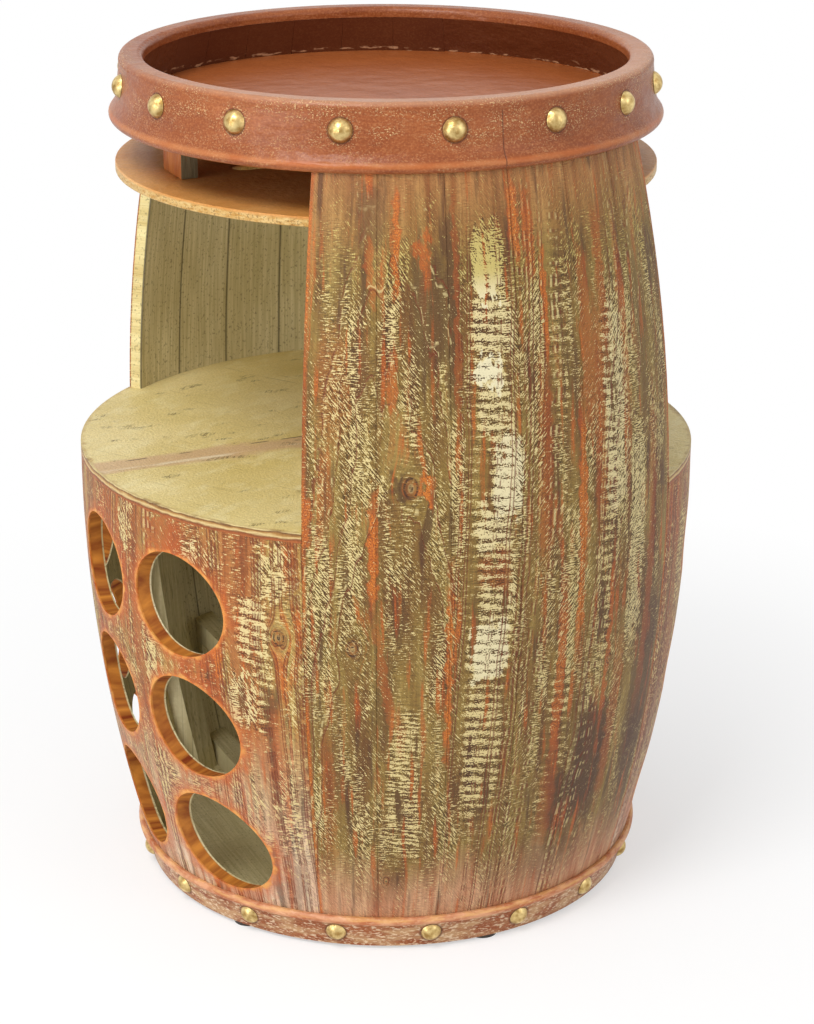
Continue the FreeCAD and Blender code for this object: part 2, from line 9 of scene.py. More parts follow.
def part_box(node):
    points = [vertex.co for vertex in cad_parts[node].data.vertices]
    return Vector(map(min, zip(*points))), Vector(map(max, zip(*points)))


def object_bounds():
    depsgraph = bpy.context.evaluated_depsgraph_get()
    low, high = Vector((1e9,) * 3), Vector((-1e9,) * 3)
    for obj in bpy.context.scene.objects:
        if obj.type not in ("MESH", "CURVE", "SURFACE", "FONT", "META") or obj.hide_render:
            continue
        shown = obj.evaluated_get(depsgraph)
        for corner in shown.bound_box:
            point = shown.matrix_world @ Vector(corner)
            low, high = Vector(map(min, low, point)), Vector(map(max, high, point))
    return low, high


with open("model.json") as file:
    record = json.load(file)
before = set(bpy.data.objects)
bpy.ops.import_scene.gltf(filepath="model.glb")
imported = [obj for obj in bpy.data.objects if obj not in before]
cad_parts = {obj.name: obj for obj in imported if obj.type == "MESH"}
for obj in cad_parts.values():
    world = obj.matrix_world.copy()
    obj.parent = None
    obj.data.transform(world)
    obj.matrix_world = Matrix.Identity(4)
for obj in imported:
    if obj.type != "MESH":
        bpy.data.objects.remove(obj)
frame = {"nodes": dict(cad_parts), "record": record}
cad_low, cad_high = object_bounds()
nodes = frame["nodes"]
# A millimetre, and a length far beyond the barrel, in metres.
MM = 0.001
FAR = 9

# Real sizes, in metres, that the finishes follow. The barrel's bow passes through foot and belly.
BELLY_RADIUS = 260 * MM
BELLY_HEIGHT = cad_high.z / 2
FOOT_RADIUS = 209 * MM
FOOT_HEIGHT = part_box("near_stave_1")[0].z
STAVE_THICK = 12.5 * MM
BOW_RISE = BELLY_HEIGHT - FOOT_HEIGHT
BOW_DEPTH = BELLY_RADIUS - FOOT_RADIUS
BOW_RADIUS = (BOW_RISE**2 + BOW_DEPTH**2) / (2 * BOW_DEPTH)
STAVE_ANGLE = math.radians(360 / 28)
WALL_ANGLE = 6 * STAVE_ANGLE
FAR_WALL_SEED = 5
MEAN_RADIUS = 245 * MM
BORE_RADIUS = 44 * MM
BORE_PITCH = 109 * MM
LOW_ROW = 85 * MM
# Growth rings for each metre of height, for each square metre across from a board's heart, and
# over the whole range of the drift.
RINGS_UP = 11
ARCH = 830
RING_DRIFT = 1.1
# Step that keeps the ring numbers of two boards apart, and how closely a knot's rings follow each
# other, in radians for each radius of the knot.
BOARD_STEP = 31
KNOT_RINGS = 9
# Rungs of the embossing: their pitch, their rise for each metre across, and how far they sway.
RUNG_PITCH = 8.6 * MM
RUNG_RISE = 0.14
RUNG_SWAY = 4 * MM
# Lean of the embossing's slanted strokes, and the share of grit in it.
SLANT = math.radians(52)
GRIT_SHARE = 0.36
# Levels between which cream takes hold, of embossing and cover together, and white in it, of the
# brushed patches.
CREAM_HOLD = (0.89, 0.99)
WHITE_HOLD = (0.42, 0.62)
# How far the edges of brushed patches wander sideways and up.
WANDER = (12 * MM, 60 * MM, 0)
# Depths over which the outer face gives way to cut edges, these to a stave's inner face, and the
# rim to what lies inside it.
CUT_EDGE = (1 * MM, 2 * MM)
INNER_FACE = (STAVE_THICK - 1.6 * MM, STAVE_THICK - 0.8 * MM)
INSIDE_RIM = (9 * MM, 11 * MM)
# Heights over which the sawn faces change: red-brown paint begins under the tray, the dry brush
# fades towards tray and base, its white ends, and olive-yellow takes its place.
HEAD = (610 * MM, 670 * MM)
BRUSH_TOP = (650 * MM, 570 * MM)
BRUSH_FOOT = (40 * MM, 110 * MM)
WHITE_TOP = (585 * MM, 560 * MM)
YELLOW_FOOT = (560 * MM, 590 * MM)

# Heights of pieces, rings of dome nails, and the butt joint of the tray's hoop.
TRAY_FLOOR_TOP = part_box("tray_floor")[1].z
TRAY_HOOP_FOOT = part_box("tray_hoop")[0].z
SHELF_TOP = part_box("shelf_near_board")[1].z
BASE_HOOP_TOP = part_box("base_hoop")[1].z
STAVE_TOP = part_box("near_stave_1")[1].z
TRAY_NAIL_COUNT = 16
TRAY_NAIL_HEIGHT = 691 * MM
TRAY_NAIL_TURN = math.radians(-10.5)
TRAY_NAIL_RADIUS = 219 * MM
BASE_NAIL_COUNT = 17
BASE_NAIL_HEIGHT = 16 * MM
BASE_NAIL_TURN = math.radians(-14)
BASE_NAIL_RADIUS = 214 * MM
HOOP_JOINT_ANGLE = math.radians(-0.5)
HOOP_JOINT_RADIUS = 220 * MM

# Widths of the eased arrises by material slot, and the least angle between faces that is eased.
EASED = {
    "wall_paint": 0.5 * MM, "shelf_paint": 1.2 * MM, "glass_board_paint": 1.5 * MM,
    "spacer_paint": 1 * MM,
}
EASED_ANGLE = math.radians(35)
WELD_DISTANCE = 0.002 * MM

# Camera of the photograph: focal length in pixels of its 1024 pixel height, distance and height
# in metres, then the angles of its aim, and the barrel's turn against it.
FOCAL_PIXELS = 2664.7
FRAME_HEIGHT = 1024
SENSOR = 36
CAMERA_DISTANCE = 2.1644
CAMERA_HEIGHT = 1.1138
CAMERA_PITCH = 0.35582
CAMERA_YAW = 0.00832
CAMERA_ROLL = 0.00298
BARREL_TURN = math.radians(24)

# Studio light: place, size in metres and power in watts of each lamp, the point that all of them
# aim at, and the share of the white backdrop that lights the object.
LAMPS = {
    "key": ((-1.9, -1.3, 3.4), 1.6, 85),
    "side": ((-2.9, -1.0, 0.9), 1.2, 24),
    "fill": ((1.5, -3.0, 1.9), 1.8, 13),
}
LAMP_AIM = (0, 0, 0.4)
BACKDROP_LIGHT = 0.62
# Width of the floor, the distances from the barrel's axis over which its shadow fades out, and
# the share of the backdrop's white next to the barrel.
FLOOR_SIZE = 12
SHADOW_FADE = (0.25, 0.9)
NEAR_WHITE = 0.5


def linear(hex_colour):
    """Linear RGBA of an sRGB hex colour."""
    channels = [int(hex_colour[i:i + 2], 16) / 255 for i in (1, 3, 5)]
    levels = [c / 12.92 if c <= 0.04045 else ((c + 0.055) / 1.055) ** 2.4 for c in channels]
    return (*levels, 1)


def add(tree, kind, *values, out=0, stops=(), **settings):
    """Adds a node and returns one of its outputs, by name or number.

    Values go to its inputs in order, and None leaves an input alone. A setting goes to the
    input of that name, or to the node's own property. Stops are (place, colour) pairs.
    """
    node = tree.nodes.new("ShaderNode" + kind)
    sockets = list(zip(node.inputs, values))
    for name, value in settings.items():
        socket = node.inputs.get(name.replace("_", " "))
        if socket is None:
            setattr(node, name, value)
        else:
            sockets.append((socket, value))
    for socket, value in sockets:
        if isinstance(value, bpy.types.NodeSocket):
            tree.links.new(value, socket)
        elif isinstance(value, str):
            socket.default_value = linear(value)
        elif value is not None:
            socket.default_value = value
    for index, (place, colour) in enumerate(stops):
        ramp = node.color_ramp.elements
        stop = ramp[index] if index < len(ramp) else ramp.new(place)
        stop.position = place
        stop.color = linear(colour)
    return node.outputs[out] if node.outputs else None


def new_finish(name, surface):
    """Material whose tree a function fills in; the function returns its shader."""
    finish = bpy.data.materials.new(name)
    finish.use_nodes = True
    tree = finish.node_tree
    tree.nodes.clear()
    put = partial(add, tree)
    put("OutputMaterial", surface(put))
    return finish


def round_barrel(put, angle, start, middle):
    """Distance round the barrel from the middle line of one of two opposite sides."""
    turned = put("Math", angle, start, operation="ADD")
    turned = put("Math", turned, math.pi, operation="FLOORED_MODULO")
    off = put("Math", turned, middle, operation="SUBTRACT")
    return put("Math", off, MEAN_RADIUS, operation="MULTIPLY")


def barrel_place():
    """Group that tells where on the barrel a point lies.

    Angle runs from the near side towards the right, Height is up and Depth is how far in from
    the bowed outer face. Hand is the place on one wall, from its middle line, turned end for end
    on the far wall, and Side the place on one panel, turned about on the right panel. Both are
    across and up on the outer face, and their third component is a seed.
    """
    group = bpy.data.node_groups.new("barrel_place", "ShaderNodeTree")
    put = partial(add, group)
    x, y, z = put("SeparateXYZ", put("TexCoord", out="Object")).node.outputs
    angle = put("Math", x, put("Math", y, -1, operation="MULTIPLY"), operation="ARCTAN2")
    radius = put("VectorMath", put("CombineXYZ", x, y), operation="LENGTH", out="Value")
    rise = put("Math", z, BELLY_HEIGHT, operation="SUBTRACT")
    rise_squared = put("Math", rise, rise, operation="MULTIPLY")
    bow = put("Math", BOW_RADIUS**2, rise_squared, operation="SUBTRACT")
    bow = put("Math", bow, operation="SQRT")
    face = put("Math", bow, BELLY_RADIUS - BOW_RADIUS, operation="ADD")
    depth = put("Math", face, radius, operation="SUBTRACT")
    across = round_barrel(put, angle, math.pi / 2, math.pi / 2)
    from_top = put("Math", cad_high.z, z, operation="SUBTRACT")
    hand = put("MixRGB", put("Math", y, 0, operation="GREATER_THAN"), put("CombineXYZ", across, z),
               put("CombineXYZ", across, from_top, FAR_WALL_SEED))
    across = round_barrel(put, angle, 0, math.pi)
    side = put("CombineXYZ", across, z, put("Math", x, 0, operation="GREATER_THAN"))
    places = {"Angle": angle, "Height": z, "Depth": depth, "Hand": hand, "Side": side}
    sink = group.nodes.new("NodeGroupOutput")
    for name, socket in places.items():
        kind = "NodeSocketVector" if name in ("Hand", "Side") else "NodeSocketFloat"
        group.interface.new_socket(name, in_out="OUTPUT", socket_type=kind)
        group.links.new(socket, sink.inputs[name])
    return group


def clouds(put, place, size, slant=0, low=0.32, high=0.68, **settings):
    """Level from 0 to 1 in clouds of a real size along each direction of the place."""
    cell = put("Mapping", place, None, (0, 0, slant), size, vector_type="TEXTURE")
    return put("MapRange", put("TexNoise", cell, Scale=1, **settings), low, high)


def stripe(put, value, middle, outer, inner):
    """1 on a line where a value meets its middle, fading out between two distances from it."""
    away = put("Math", put("Math", value, middle, operation="SUBTRACT"), operation="ABSOLUTE")
    return put("MapRange", away, outer, inner)


def on_face(degrees, millimetres, half_width, half_height, level=1.0, lean=0):
    """Centre, half sizes, lean in radians and level of a patch that leans left by some degrees."""
    across = math.radians(degrees) * MEAN_RADIUS
    size = (half_width * MM, half_height * MM, 1e6)
    return (across, millimetres * MM, 0), size, math.radians(lean), level


def patches(put, place, spots, edge):
    """Highest level of some soft-edged, rather square patches.

    The level so far rides in the third component of the place, which has across and up in the
    first two, so that the patches are worked out one after another.
    """
    running = put("VectorMath", place, (1, 1, 0), operation="MULTIPLY")
    for spot in spots:
        centre, size, lean, level = on_face(*spot)
        near = put("Mapping", running, centre, (0, 0, lean), size, vector_type="TEXTURE")
        squares = put("VectorMath", near, near, operation="MULTIPLY")
        away = put("VectorMath", squares, operation="LENGTH", out="Value")
        mask = put("MapRange", away, 1 + edge, 1 - edge, 0, level, interpolation_type="SMOOTHSTEP")
        own_level = put("CombineXYZ", -FAR, -FAR, mask)
        running = put("VectorMath", running, own_level, operation="MAXIMUM")
    return put("SeparateXYZ", running, out="Z")


# What brush, rag and gouge left on a wall and on a panel, and two dark patches on the wall's right
# edge that are painted shade. A patch has the angle and the height of its centre, half its width
# and height, its level, and its lean. A knot has its angle, height and radius. Angles are in
# degrees and lengths in millimetres. Tones are stops from dark rings to light ones, and cover is
# how much of the brush's cream lies on low and high columns. White and brush are the strengths of
# white and cream on the patches. Foot is the heights between which the smoother foot paint ends,
# in its two colours. The three values of boards are the edge between the two boards and the places
# across of their hearts, in metres. The seed sets the faces apart.
WALL = {
    "cream": [
        (-5.3, 596, 14, 30, 0.85), (-4.8, 545, 20, 26, 0.46), (-6.2, 509, 14, 14, 0.62),
        (-4.8, 480, 16, 30, 0.46), (-2.6, 428, 14, 38, 0.56), (-5.4, 388, 17, 22, 0.48),
        (-4.4, 335, 17, 36, 0.45), (-5.9, 285, 18, 30, 0.56), (-6.2, 195, 17, 66, 0.42),
        (-20.5, 162, 16, 76, 0.4), (-35.5, 330, 10, 60, 0.38), (-22.5, 575, 7, 40, 0.4, -12),
        (-31, 480, 14, 40, 0.36, 18), (3.8, 545, 6, 80, 0.4), (9.5, 275, 10, 80, 0.4),
        (18.5, 340, 8, 120, 0.36), (27, 350, 11, 110, 0.46), (-11.6, 424, 6.5, 60, 0.42),
        (21, 460, 16, 100, 0.48), (-12, 330, 4, 40, 0.35), (-29, 110, 12, 40, 0.36),
        (-13, 120, 10, 46, 0.32), (9.6, 560, 9, 60, 0.34), (-27, 425, 12, 22, 0.38, 20),
    ],
    "orange": [
        (-22.2, 612, 3, 40, 0.9), (-26.9, 590, 3.5, 26, 0.6, 4), (-17.4, 607, 5, 12, 0.8, -25),
        (0.2, 622, 5, 26, 0.9), (3.2, 612, 5, 34, 0.8), (5.6, 560, 2.5, 46, 0.9),
        (14.5, 520, 6, 70, 0.6), (-23, 508, 4, 26, 0.8), (-38, 396, 5, 22, 0.9),
        (-26.2, 372, 3.5, 50, 0.95), (-17.2, 424, 5, 10, 1), (4.6, 430, 6, 80, 0.55),
        (12.6, 370, 3.5, 110, 0.95), (-12.9, 270, 3, 80, 0.95), (9, 250, 4.5, 80, 0.85),
        (20.5, 260, 2.5, 70, 0.8), (-24.5, 268, 4, 46, 0.5, 8), (-33.5, 500, 12, 44, 0.35),
        (24, 190, 6, 70, 0.45), (32, 330, 5, 130, 0.45), (9, 130, 8, 40, 0.4),
        (-35, 150, 6, 60, 0.35), (-11.4, 530, 2, 110, 0.45), (19, 560, 5, 60, 0.6),
        (-5, 350, 12, 14, 0.5), (17, 460, 6, 90, 0.6), (-17.4, 424, 7, 9, 0.9),
        (24, 500, 4, 110, 0.5),
    ],
    "dark": [
        # Those at 31 and 34 degrees, on the wall's right edge, are painted shade.
        (-16, 560, 15, 46, 0.75), (-12.2, 560, 6, 70, 0.8), (-27, 632, 12, 26, 0.6),
        (18.5, 158, 20, 56, 1), (31, 220, 8, 110, 0.7), (-24.5, 245, 8, 40, 0.4),
        (9, 560, 3, 50, 0.4), (29, 520, 8, 70, 0.4), (-21.5, 424, 9, 9, 0.8), (12, 90, 26, 40, 0.4),
        (34, 185, 14, 110, 0.85), (13, 128, 16, 30, 0.9),
    ],
    "ladders": [
        (-20.5, 162, 17, 92), (-5.9, 350, 19, 240), (-20.5, 428, 11, 50), (8, 545, 10, 80),
        (19, 400, 8, 150), (9, 170, 12, 90),
    ],
    "knots": [(-19.8, 424, 5.5), (-29.8, 291, 4.5), (-24, 72, 3), (21, 250, 3)],
    "tones": (
        (0.05, "#63401f"), (0.22, "#775428"), (0.4, "#83642f"),
        (0.58, "#8c7136"), (0.74, "#9c8244"), (0.9, "#a76a30"),
    ),
    "cover": (0.06, 0.45),
    "white": 1,
    "brush": 1,
    "foot": (80 * MM, 30 * MM),
    "foot_paint": ("#b86e4c", "#e6b690"),
    "boards": (-54 * MM, -98 * MM, 150 * MM),
    "seed": 0,
}
PANEL = {
    "cream": [
        (-61, 358, 8, 16, 0.62), (-44, 348, 13, 22, 0.5), (-48, 297, 14, 30, 0.52),
        (-51, 232, 14, 24, 0.55), (-46, 240, 8, 40, 0.46), (-73, 242, 9, 40, 0.5),
        (-43, 130, 10, 50, 0.42), (-79, 352, 6, 20, 0.5), (-50, 90, 16, 20, 0.42),
        (-75, 130, 9, 30, 0.42), (-101, 240, 9, 42, 0.5), (-131, 300, 12, 50, 0.5),
        (-128, 190, 12, 40, 0.5), (-112, 356, 14, 14, 0.5), (-134, 110, 10, 40, 0.4),
        (-104, 132, 9, 26, 0.45),
    ],
    "orange": [
        (-55.5, 277, 5, 30, 1), (-67, 362, 26, 14, 0.7), (-60, 244, 18, 9, 0.6),
        (-56, 170, 5, 28, 0.7), (-86, 360, 20, 12, 0.5), (-81, 300, 9, 46, 0.5),
        (-120, 250, 6, 40, 0.7), (-118, 340, 14, 20, 0.6), (-100, 180, 10, 30, 0.5),
        (-126, 120, 8, 40, 0.6), (-44, 190, 7, 40, 0.5), (-96, 60, 30, 12, 0.5),
    ],
    "dark": [(-66, 356, 30, 20, 0.4), (-43, 60, 12, 24, 0.4), (-137, 220, 6, 90, 0.5)],
    "ladders": [(-48, 297, 16, 34), (-46, 240, 9, 44), (-131, 300, 14, 50)],
    "knots": [(-43, 295, 4.5), (-133, 200, 4)],
    "tones": (
        (0.05, "#8a4a20"), (0.22, "#a5602c"), (0.4, "#b1713a"),
        (0.58, "#ab8040"), (0.74, "#b89a55"), (0.9, "#c67a35"),
    ),
    "cover": (0.04, 0.4),
    "white": 0.3,
    "brush": 0.88,
    "foot": (200 * MM, 40 * MM),
    "foot_paint": ("#cc9470", "#f2d8bc"),
    "boards": (-255 * MM, -200 * MM, -420 * MM),
    "seed": 11,
}


def grain_round_knots(put, place, knots):
    """Place across the grain, bent to flow round the knots, and how near the nearest knot is."""
    across = put("SeparateXYZ", place)
    nearest = FAR
    for degrees, millimetres, radius in knots:
        centre = (math.radians(degrees) * MEAN_RADIUS, millimetres * MM, 0)
        away = put("VectorMath", place, centre, operation="SUBTRACT")
        away = put("VectorMath", away, (1, 0.6, 0), operation="MULTIPLY")
        distance = put("VectorMath", away, operation="LENGTH", out="Value")
        core, reach = (0.7 * radius * MM) ** 2, (1.8 * radius * MM) ** 2
        squared = put("Math", distance, distance, core, operation="MULTIPLY_ADD")
        pull = put("Math", put("SeparateXYZ", away), reach, operation="MULTIPLY")
        pull = put("Math", pull, squared, operation="DIVIDE")
        across = put("Math", across, pull, operation="SUBTRACT")
        radii = put("Math", distance, radius * MM, operation="DIVIDE")
        nearest = put("Math", radii, nearest, operation="MINIMUM")
    return across, nearest


def stave_seams(put, angle, width):
    """1 on the joints between staves, fading out over a real width."""
    turned = put("Math", put("Math", angle, STAVE_ANGLE, operation="DIVIDE"), operation="FRACT")
    away = put("Math", put("Math", turned, 0.5, operation="SUBTRACT"), operation="ABSOLUTE")
    return put("MapRange", away, 0.5 - width / (STAVE_ANGLE * MEAN_RADIUS), 0.5)


def tint(put, colour, level, paint, strength=1):
    """Lays paint over a colour where a level says so."""
    if strength != 1:
        level = put("Math", level, strength, operation="MULTIPLY")
    return put("MixRGB", level, colour, paint)


def olive_coat(put, where):
    """Pale olive paint brushed on smooth wood: darker in the grain, with dark specks."""
    drift = clouds(put, where, (90 * MM, 160 * MM, 0.3), Detail=3)
    grain = clouds(put, where, (1.8 * MM, 60 * MM, 0.3), Detail=2)
    specks = clouds(put, where, (2 * MM, 2.6 * MM, 0.3), low=0.6, high=0.72, Detail=1)
    colour = put("MixRGB", drift, "#cabc8c", "#e8deb6")
    colour = tint(put, colour, grain, "#95864f", 0.5)
    return tint(put, colour, specks, "#4d3f24", 0.45)


def jointed_olive_coat(put, place, flat):
    """Olive paint on the staves' inner faces, dark along their joints."""
    seams = stave_seams(put, place["Angle"], 1.6 * MM)
    return tint(put, olive_coat(put, flat), seams, "#33280f", 0.8)


def terracotta_coat(put, where):
    """Terracotta paint over filled and sanded wood, brushed round the barrel. The sanding's grit is
    drawn coarser than it is, to show."""
    drift = clouds(put, where, (70 * MM, 110 * MM, 30 * MM), low=0.2, high=0.8, Detail=5)
    strokes = clouds(put, where, (14 * MM, 14 * MM, 2.2 * MM), Detail=3)
    grit = clouds(put, where, (1.8 * MM, 1.8 * MM, 1.4 * MM), Detail=2)
    colour = put("MixRGB", drift, "#803e1a", "#a55f33")
    colour = tint(put, colour, strokes, "#73351a", 0.35)
    colour = tint(put, colour, put("MapRange", grit, 0.55, 1), "#ca8c5a", 0.25)
    return tint(put, colour, put("MapRange", grit, 0.4, 0), "#6a3013", 0.3)


def ringed(put, angle, height, count, turn, nail_height, radius):
    """Distance from the nearest dome nail of a ring, in metres."""
    step = 2 * math.pi / count
    turned = put("Math", angle, turn - step / 2, operation="SUBTRACT")
    turned = put("Math", turned, step, operation="FLOORED_MODULO")
    off = put("Math", turned, step / 2, operation="SUBTRACT")
    sideways = put("Math", off, radius, operation="MULTIPLY")
    away = put("CombineXYZ", sideways, put("Math", height, nail_height, operation="SUBTRACT"))
    return put("VectorMath", away, operation="LENGTH", out="Value")


def growth_rings(put, across, up, drift, boards):
    """Flat-sawn grain, nested arches over each board's heart: the number of the growth ring and
    the distance from the nearest ring line, in metres."""
    edge, first_heart, second_heart = boards
    first = put("Math", across, edge, operation="LESS_THAN")
    heart = put("Math", first, first_heart - second_heart, second_heart, operation="MULTIPLY_ADD")
    off = put("Math", across, heart, operation="SUBTRACT")
    arch = put("Math", put("Math", off, off, operation="MULTIPLY"), ARCH, operation="MULTIPLY")
    growth = put("Math", up, RINGS_UP, arch, operation="MULTIPLY_ADD")
    growth = put("Math", drift, RING_DRIFT, growth, operation="MULTIPLY_ADD")
    steep = put("Math", off, operation="ABSOLUTE")
    steep = put("Math", steep, 2 * ARCH, RINGS_UP, operation="MULTIPLY_ADD")
    middle = put("Math", put("Math", growth, operation="FRACT"), 0.5, operation="SUBTRACT")
    inside = put("Math", middle, operation="ABSOLUTE")
    near = put("Math", put("Math", 0.5, inside, operation="SUBTRACT"), steep, operation="DIVIDE")
    board = put("Math", first, BOARD_STEP, operation="MULTIPLY")
    number = put("Math", put("Math", growth, operation="FLOOR"), board, operation="ADD")
    return number, near


def embossing(put, flat, ragged, board):
    """Level of the marks embossed in a sawn face: dashes, slanted strokes and ladders of rungs,
    broken by grit. The real marks are finer, and these are as coarse as they need to be to show.

    Dashes, grit and the sway of the rungs are handed back too, for other marks.
    """
    across, up, _ = put("SeparateXYZ", flat).node.outputs
    grit = clouds(put, flat, (1.1 * MM, 1.2 * MM, 0.3), low=0.3, high=0.7, Detail=1)
    dashes = clouds(put, flat, (5 * MM, 1 * MM, 0.47), Detail=1)
    mirrored = put("VectorMath", flat, operation="ABSOLUTE")
    slanted = clouds(put, mirrored, (6 * MM, 1 * MM, 0.51), SLANT, Detail=1)
    sway = clouds(put, flat, (20 * MM, 6 * MM, 0.43), Detail=3)
    level = put("Math", put("Math", across, RUNG_RISE, up, operation="MULTIPLY_ADD"),
                put("Math", sway, RUNG_SWAY, operation="MULTIPLY"), operation="ADD")
    turns = put("Math", level, 2 * math.pi / RUNG_PITCH, operation="MULTIPLY")
    # Left of the edge between the boards, the rungs are twice as close.
    left = put("Math", across, board["boards"][0], operation="LESS_THAN")
    turns = put("Math", turns, put("Math", left, 1, operation="ADD"), operation="MULTIPLY")
    rungs = put("Math", put("Math", turns, operation="SINE"), 0.5, 0.5, operation="MULTIPLY_ADD")
    rungs = put("MixRGB", 0.5, rungs, dashes)
    laddered = put("Math", patches(put, ragged, board["ladders"], 0.2), 0.85, operation="MULTIPLY")
    lean = put("MapRange", clouds(put, flat, (26 * MM, 70 * MM, 0.7), Detail=1), 0.3, 0.5)
    emboss = put("MixRGB", laddered, put("MixRGB", lean, dashes, slanted), rungs)
    return put("MixRGB", GRIT_SHARE, emboss, grit), dashes, grit, sway


def sawn_paint(put, place_name, board):
    """Embossed fir under olive and red-brown paint, with a dark wash in its hollows and a cream
    dry brush on what stands up: a mottled, streaky face, rough to the eye."""
    place = put("Group", node_tree=PLACE).node.outputs
    height = place["Height"]
    flat = put("VectorMath", place[place_name], (0, 0, board["seed"]), operation="ADD")
    across, up, seed = put("SeparateXYZ", flat).node.outputs

    # Edges of brushed patches wander a little sideways and more up and down.
    cell = put("Mapping", flat, None, None, (6 * MM, 12 * MM, 0.3), vector_type="TEXTURE")
    shiver = put("TexNoise", cell, Scale=1, Detail=4, out="Color")
    wander = put("VectorMath", shiver, (0.5, 0.5, 0.5), operation="SUBTRACT")
    wander = put("VectorMath", wander, WANDER, operation="MULTIPLY")
    ragged = put("VectorMath", put("CombineXYZ", across, up), wander, operation="ADD")
    emboss, dashes, grit, sway = embossing(put, flat, ragged, board)

    # Paint: one tone for each growth ring, drifting along the board.
    grain_across, knot = grain_round_knots(put, flat, board["knots"])
    grain = put("CombineXYZ", grain_across, up, seed)
    drift = clouds(put, flat, (34 * MM, 120 * MM, 0.23), Detail=3)
    number, near_ring = growth_rings(put, grain_across, up, drift, board["boards"])
    ring = put("TexWhiteNoise", put("CombineXYZ", number, seed), noise_dimensions="3D")
    bands = clouds(put, grain, (9 * MM, 130 * MM, 0.31), Detail=4)
    own = put("Math", ring, 0.3, -0.15, operation="MULTIPLY_ADD")
    tone = put("Math", put("MixRGB", 0.5, drift, bands), own, operation="ADD")
    colour = put("ValToRGB", tone, stops=board["tones"])
    # Smoother pinkish paint over the base hoop and red-brown paint under the tray.
    wavy = put("Math", drift, 34 * MM, operation="MULTIPLY")
    foot = put("MapRange", put("Math", height, wavy, operation="SUBTRACT"), *board["foot"])
    colour = tint(put, colour, foot, put("MixRGB", bands, *board["foot_paint"]), 0.8)
    head = put("MapRange", put("Math", height, wavy, operation="ADD"), *HEAD)
    colour = tint(put, colour, head, put("MixRGB", bands, "#96562b", "#c88d58"), 0.7)
    fine = clouds(put, grain, (1.6 * MM, 40 * MM, 0.37), Detail=2)
    colour = tint(put, colour, fine, "#573413", 0.3)
    streaks = clouds(put, grain, (9 * MM, 90 * MM, 0.41), Detail=3)
    streaks = put("MapRange", streaks, 0.72, 1, 0, 0.8)
    # Dark patches and streaks: the dark patches on the wall's right edge are painted shade.
    dark = put("Math", patches(put, ragged, board["dark"], 0.6), streaks, operation="MAXIMUM")
    colour = tint(put, colour, dark, "#472a1b", 0.85)

    # Orange stain along the grain, brighter in its middle, and rubbed along the walls' corners.
    stain = clouds(put, grain, (6 * MM, 70 * MM, 0.53), Detail=3)
    stain = put("MapRange", stain, 0.7, 1, 0, 0.85)
    stain = put("Math", patches(put, ragged, board["orange"], 0.6), stain, operation="MAXIMUM")
    if board is WALL:
        half_width = WALL_ANGLE / 2 * MEAN_RADIUS
        corner = put("MapRange", put("Math", across, operation="ABSOLUTE"),
                     half_width - 4 * MM, half_width - 2 * MM, 0, 0.9)
        worn = put("MapRange", drift, 0.2, 0.6, 0.4, 1)
        corner = put("Math", corner, worn, operation="MULTIPLY")
        stain = put("Math", corner, stain, operation="MAXIMUM")
    stain = put("Math", stain, put("MapRange", grit, 0, 1, 0.7, 1.1), operation="MULTIPLY")
    colour = tint(put, colour, stain, "#b5521a", 0.8)
    colour = tint(put, colour, put("MapRange", stain, 0.75, 1), "#e08a30", 0.55)

    # Rough zones, with a dark wash in the hollows and cream on what stands up. Both are less
    # where the face is stained or dark, and towards tray and base.
    columns = put("Math", clouds(put, grain, (15 * MM, 80 * MM, 0.61), Detail=4),
                  put("Math", ring, 0.3, operation="MULTIPLY"), operation="ADD")
    cover = put("MapRange", columns, 0.2, 1.2, *board["cover"])
    brushed = patches(put, ragged, board["cream"], 0.5)
    brushed = put("Math", brushed, board["brush"], operation="MULTIPLY")
    cover = put("Math", brushed, cover, operation="MAXIMUM")
    ends = put("Math", put("MapRange", height, *BRUSH_TOP, 0.2, 1),
               put("MapRange", height, *BRUSH_FOOT, 0.3, 1), operation="MULTIPLY")
    less = put("Math", put("Math", stain, -0.5, 1, operation="MULTIPLY_ADD"),
               put("Math", dark, -0.8, 1, operation="MULTIPLY_ADD"), operation="MULTIPLY")
    cover = put("Math", put("Math", cover, ends, operation="MULTIPLY"), less, operation="MULTIPLY")
    hollow = put("Math", put("MapRange", emboss, 0.5, 0.24),
                 put("MapRange", cover, 0.08, 0.34, 0.25, 0.8), operation="MULTIPLY")
    undarkened = put("Math", dark, -0.6, 1, operation="MULTIPLY_ADD")
    hollow = put("Math", hollow, undarkened, operation="MULTIPLY")
    colour = tint(put, colour, hollow, "#2e1c0c")
    cream = put("MapRange", put("Math", emboss, cover, operation="ADD"), *CREAM_HOLD)
    white = put("Math", put("MapRange", brushed, *WHITE_HOLD, 0, board["white"]),
                put("MapRange", height, *WHITE_TOP), operation="MULTIPLY")
    brush_paint = put("MixRGB", put("MapRange", height, *YELLOW_FOOT), "#d4c188", "#bfad68")
    colour = tint(put, colour, cream, put("MixRGB", white, brush_paint, "#e0d6b0"), 0.95)

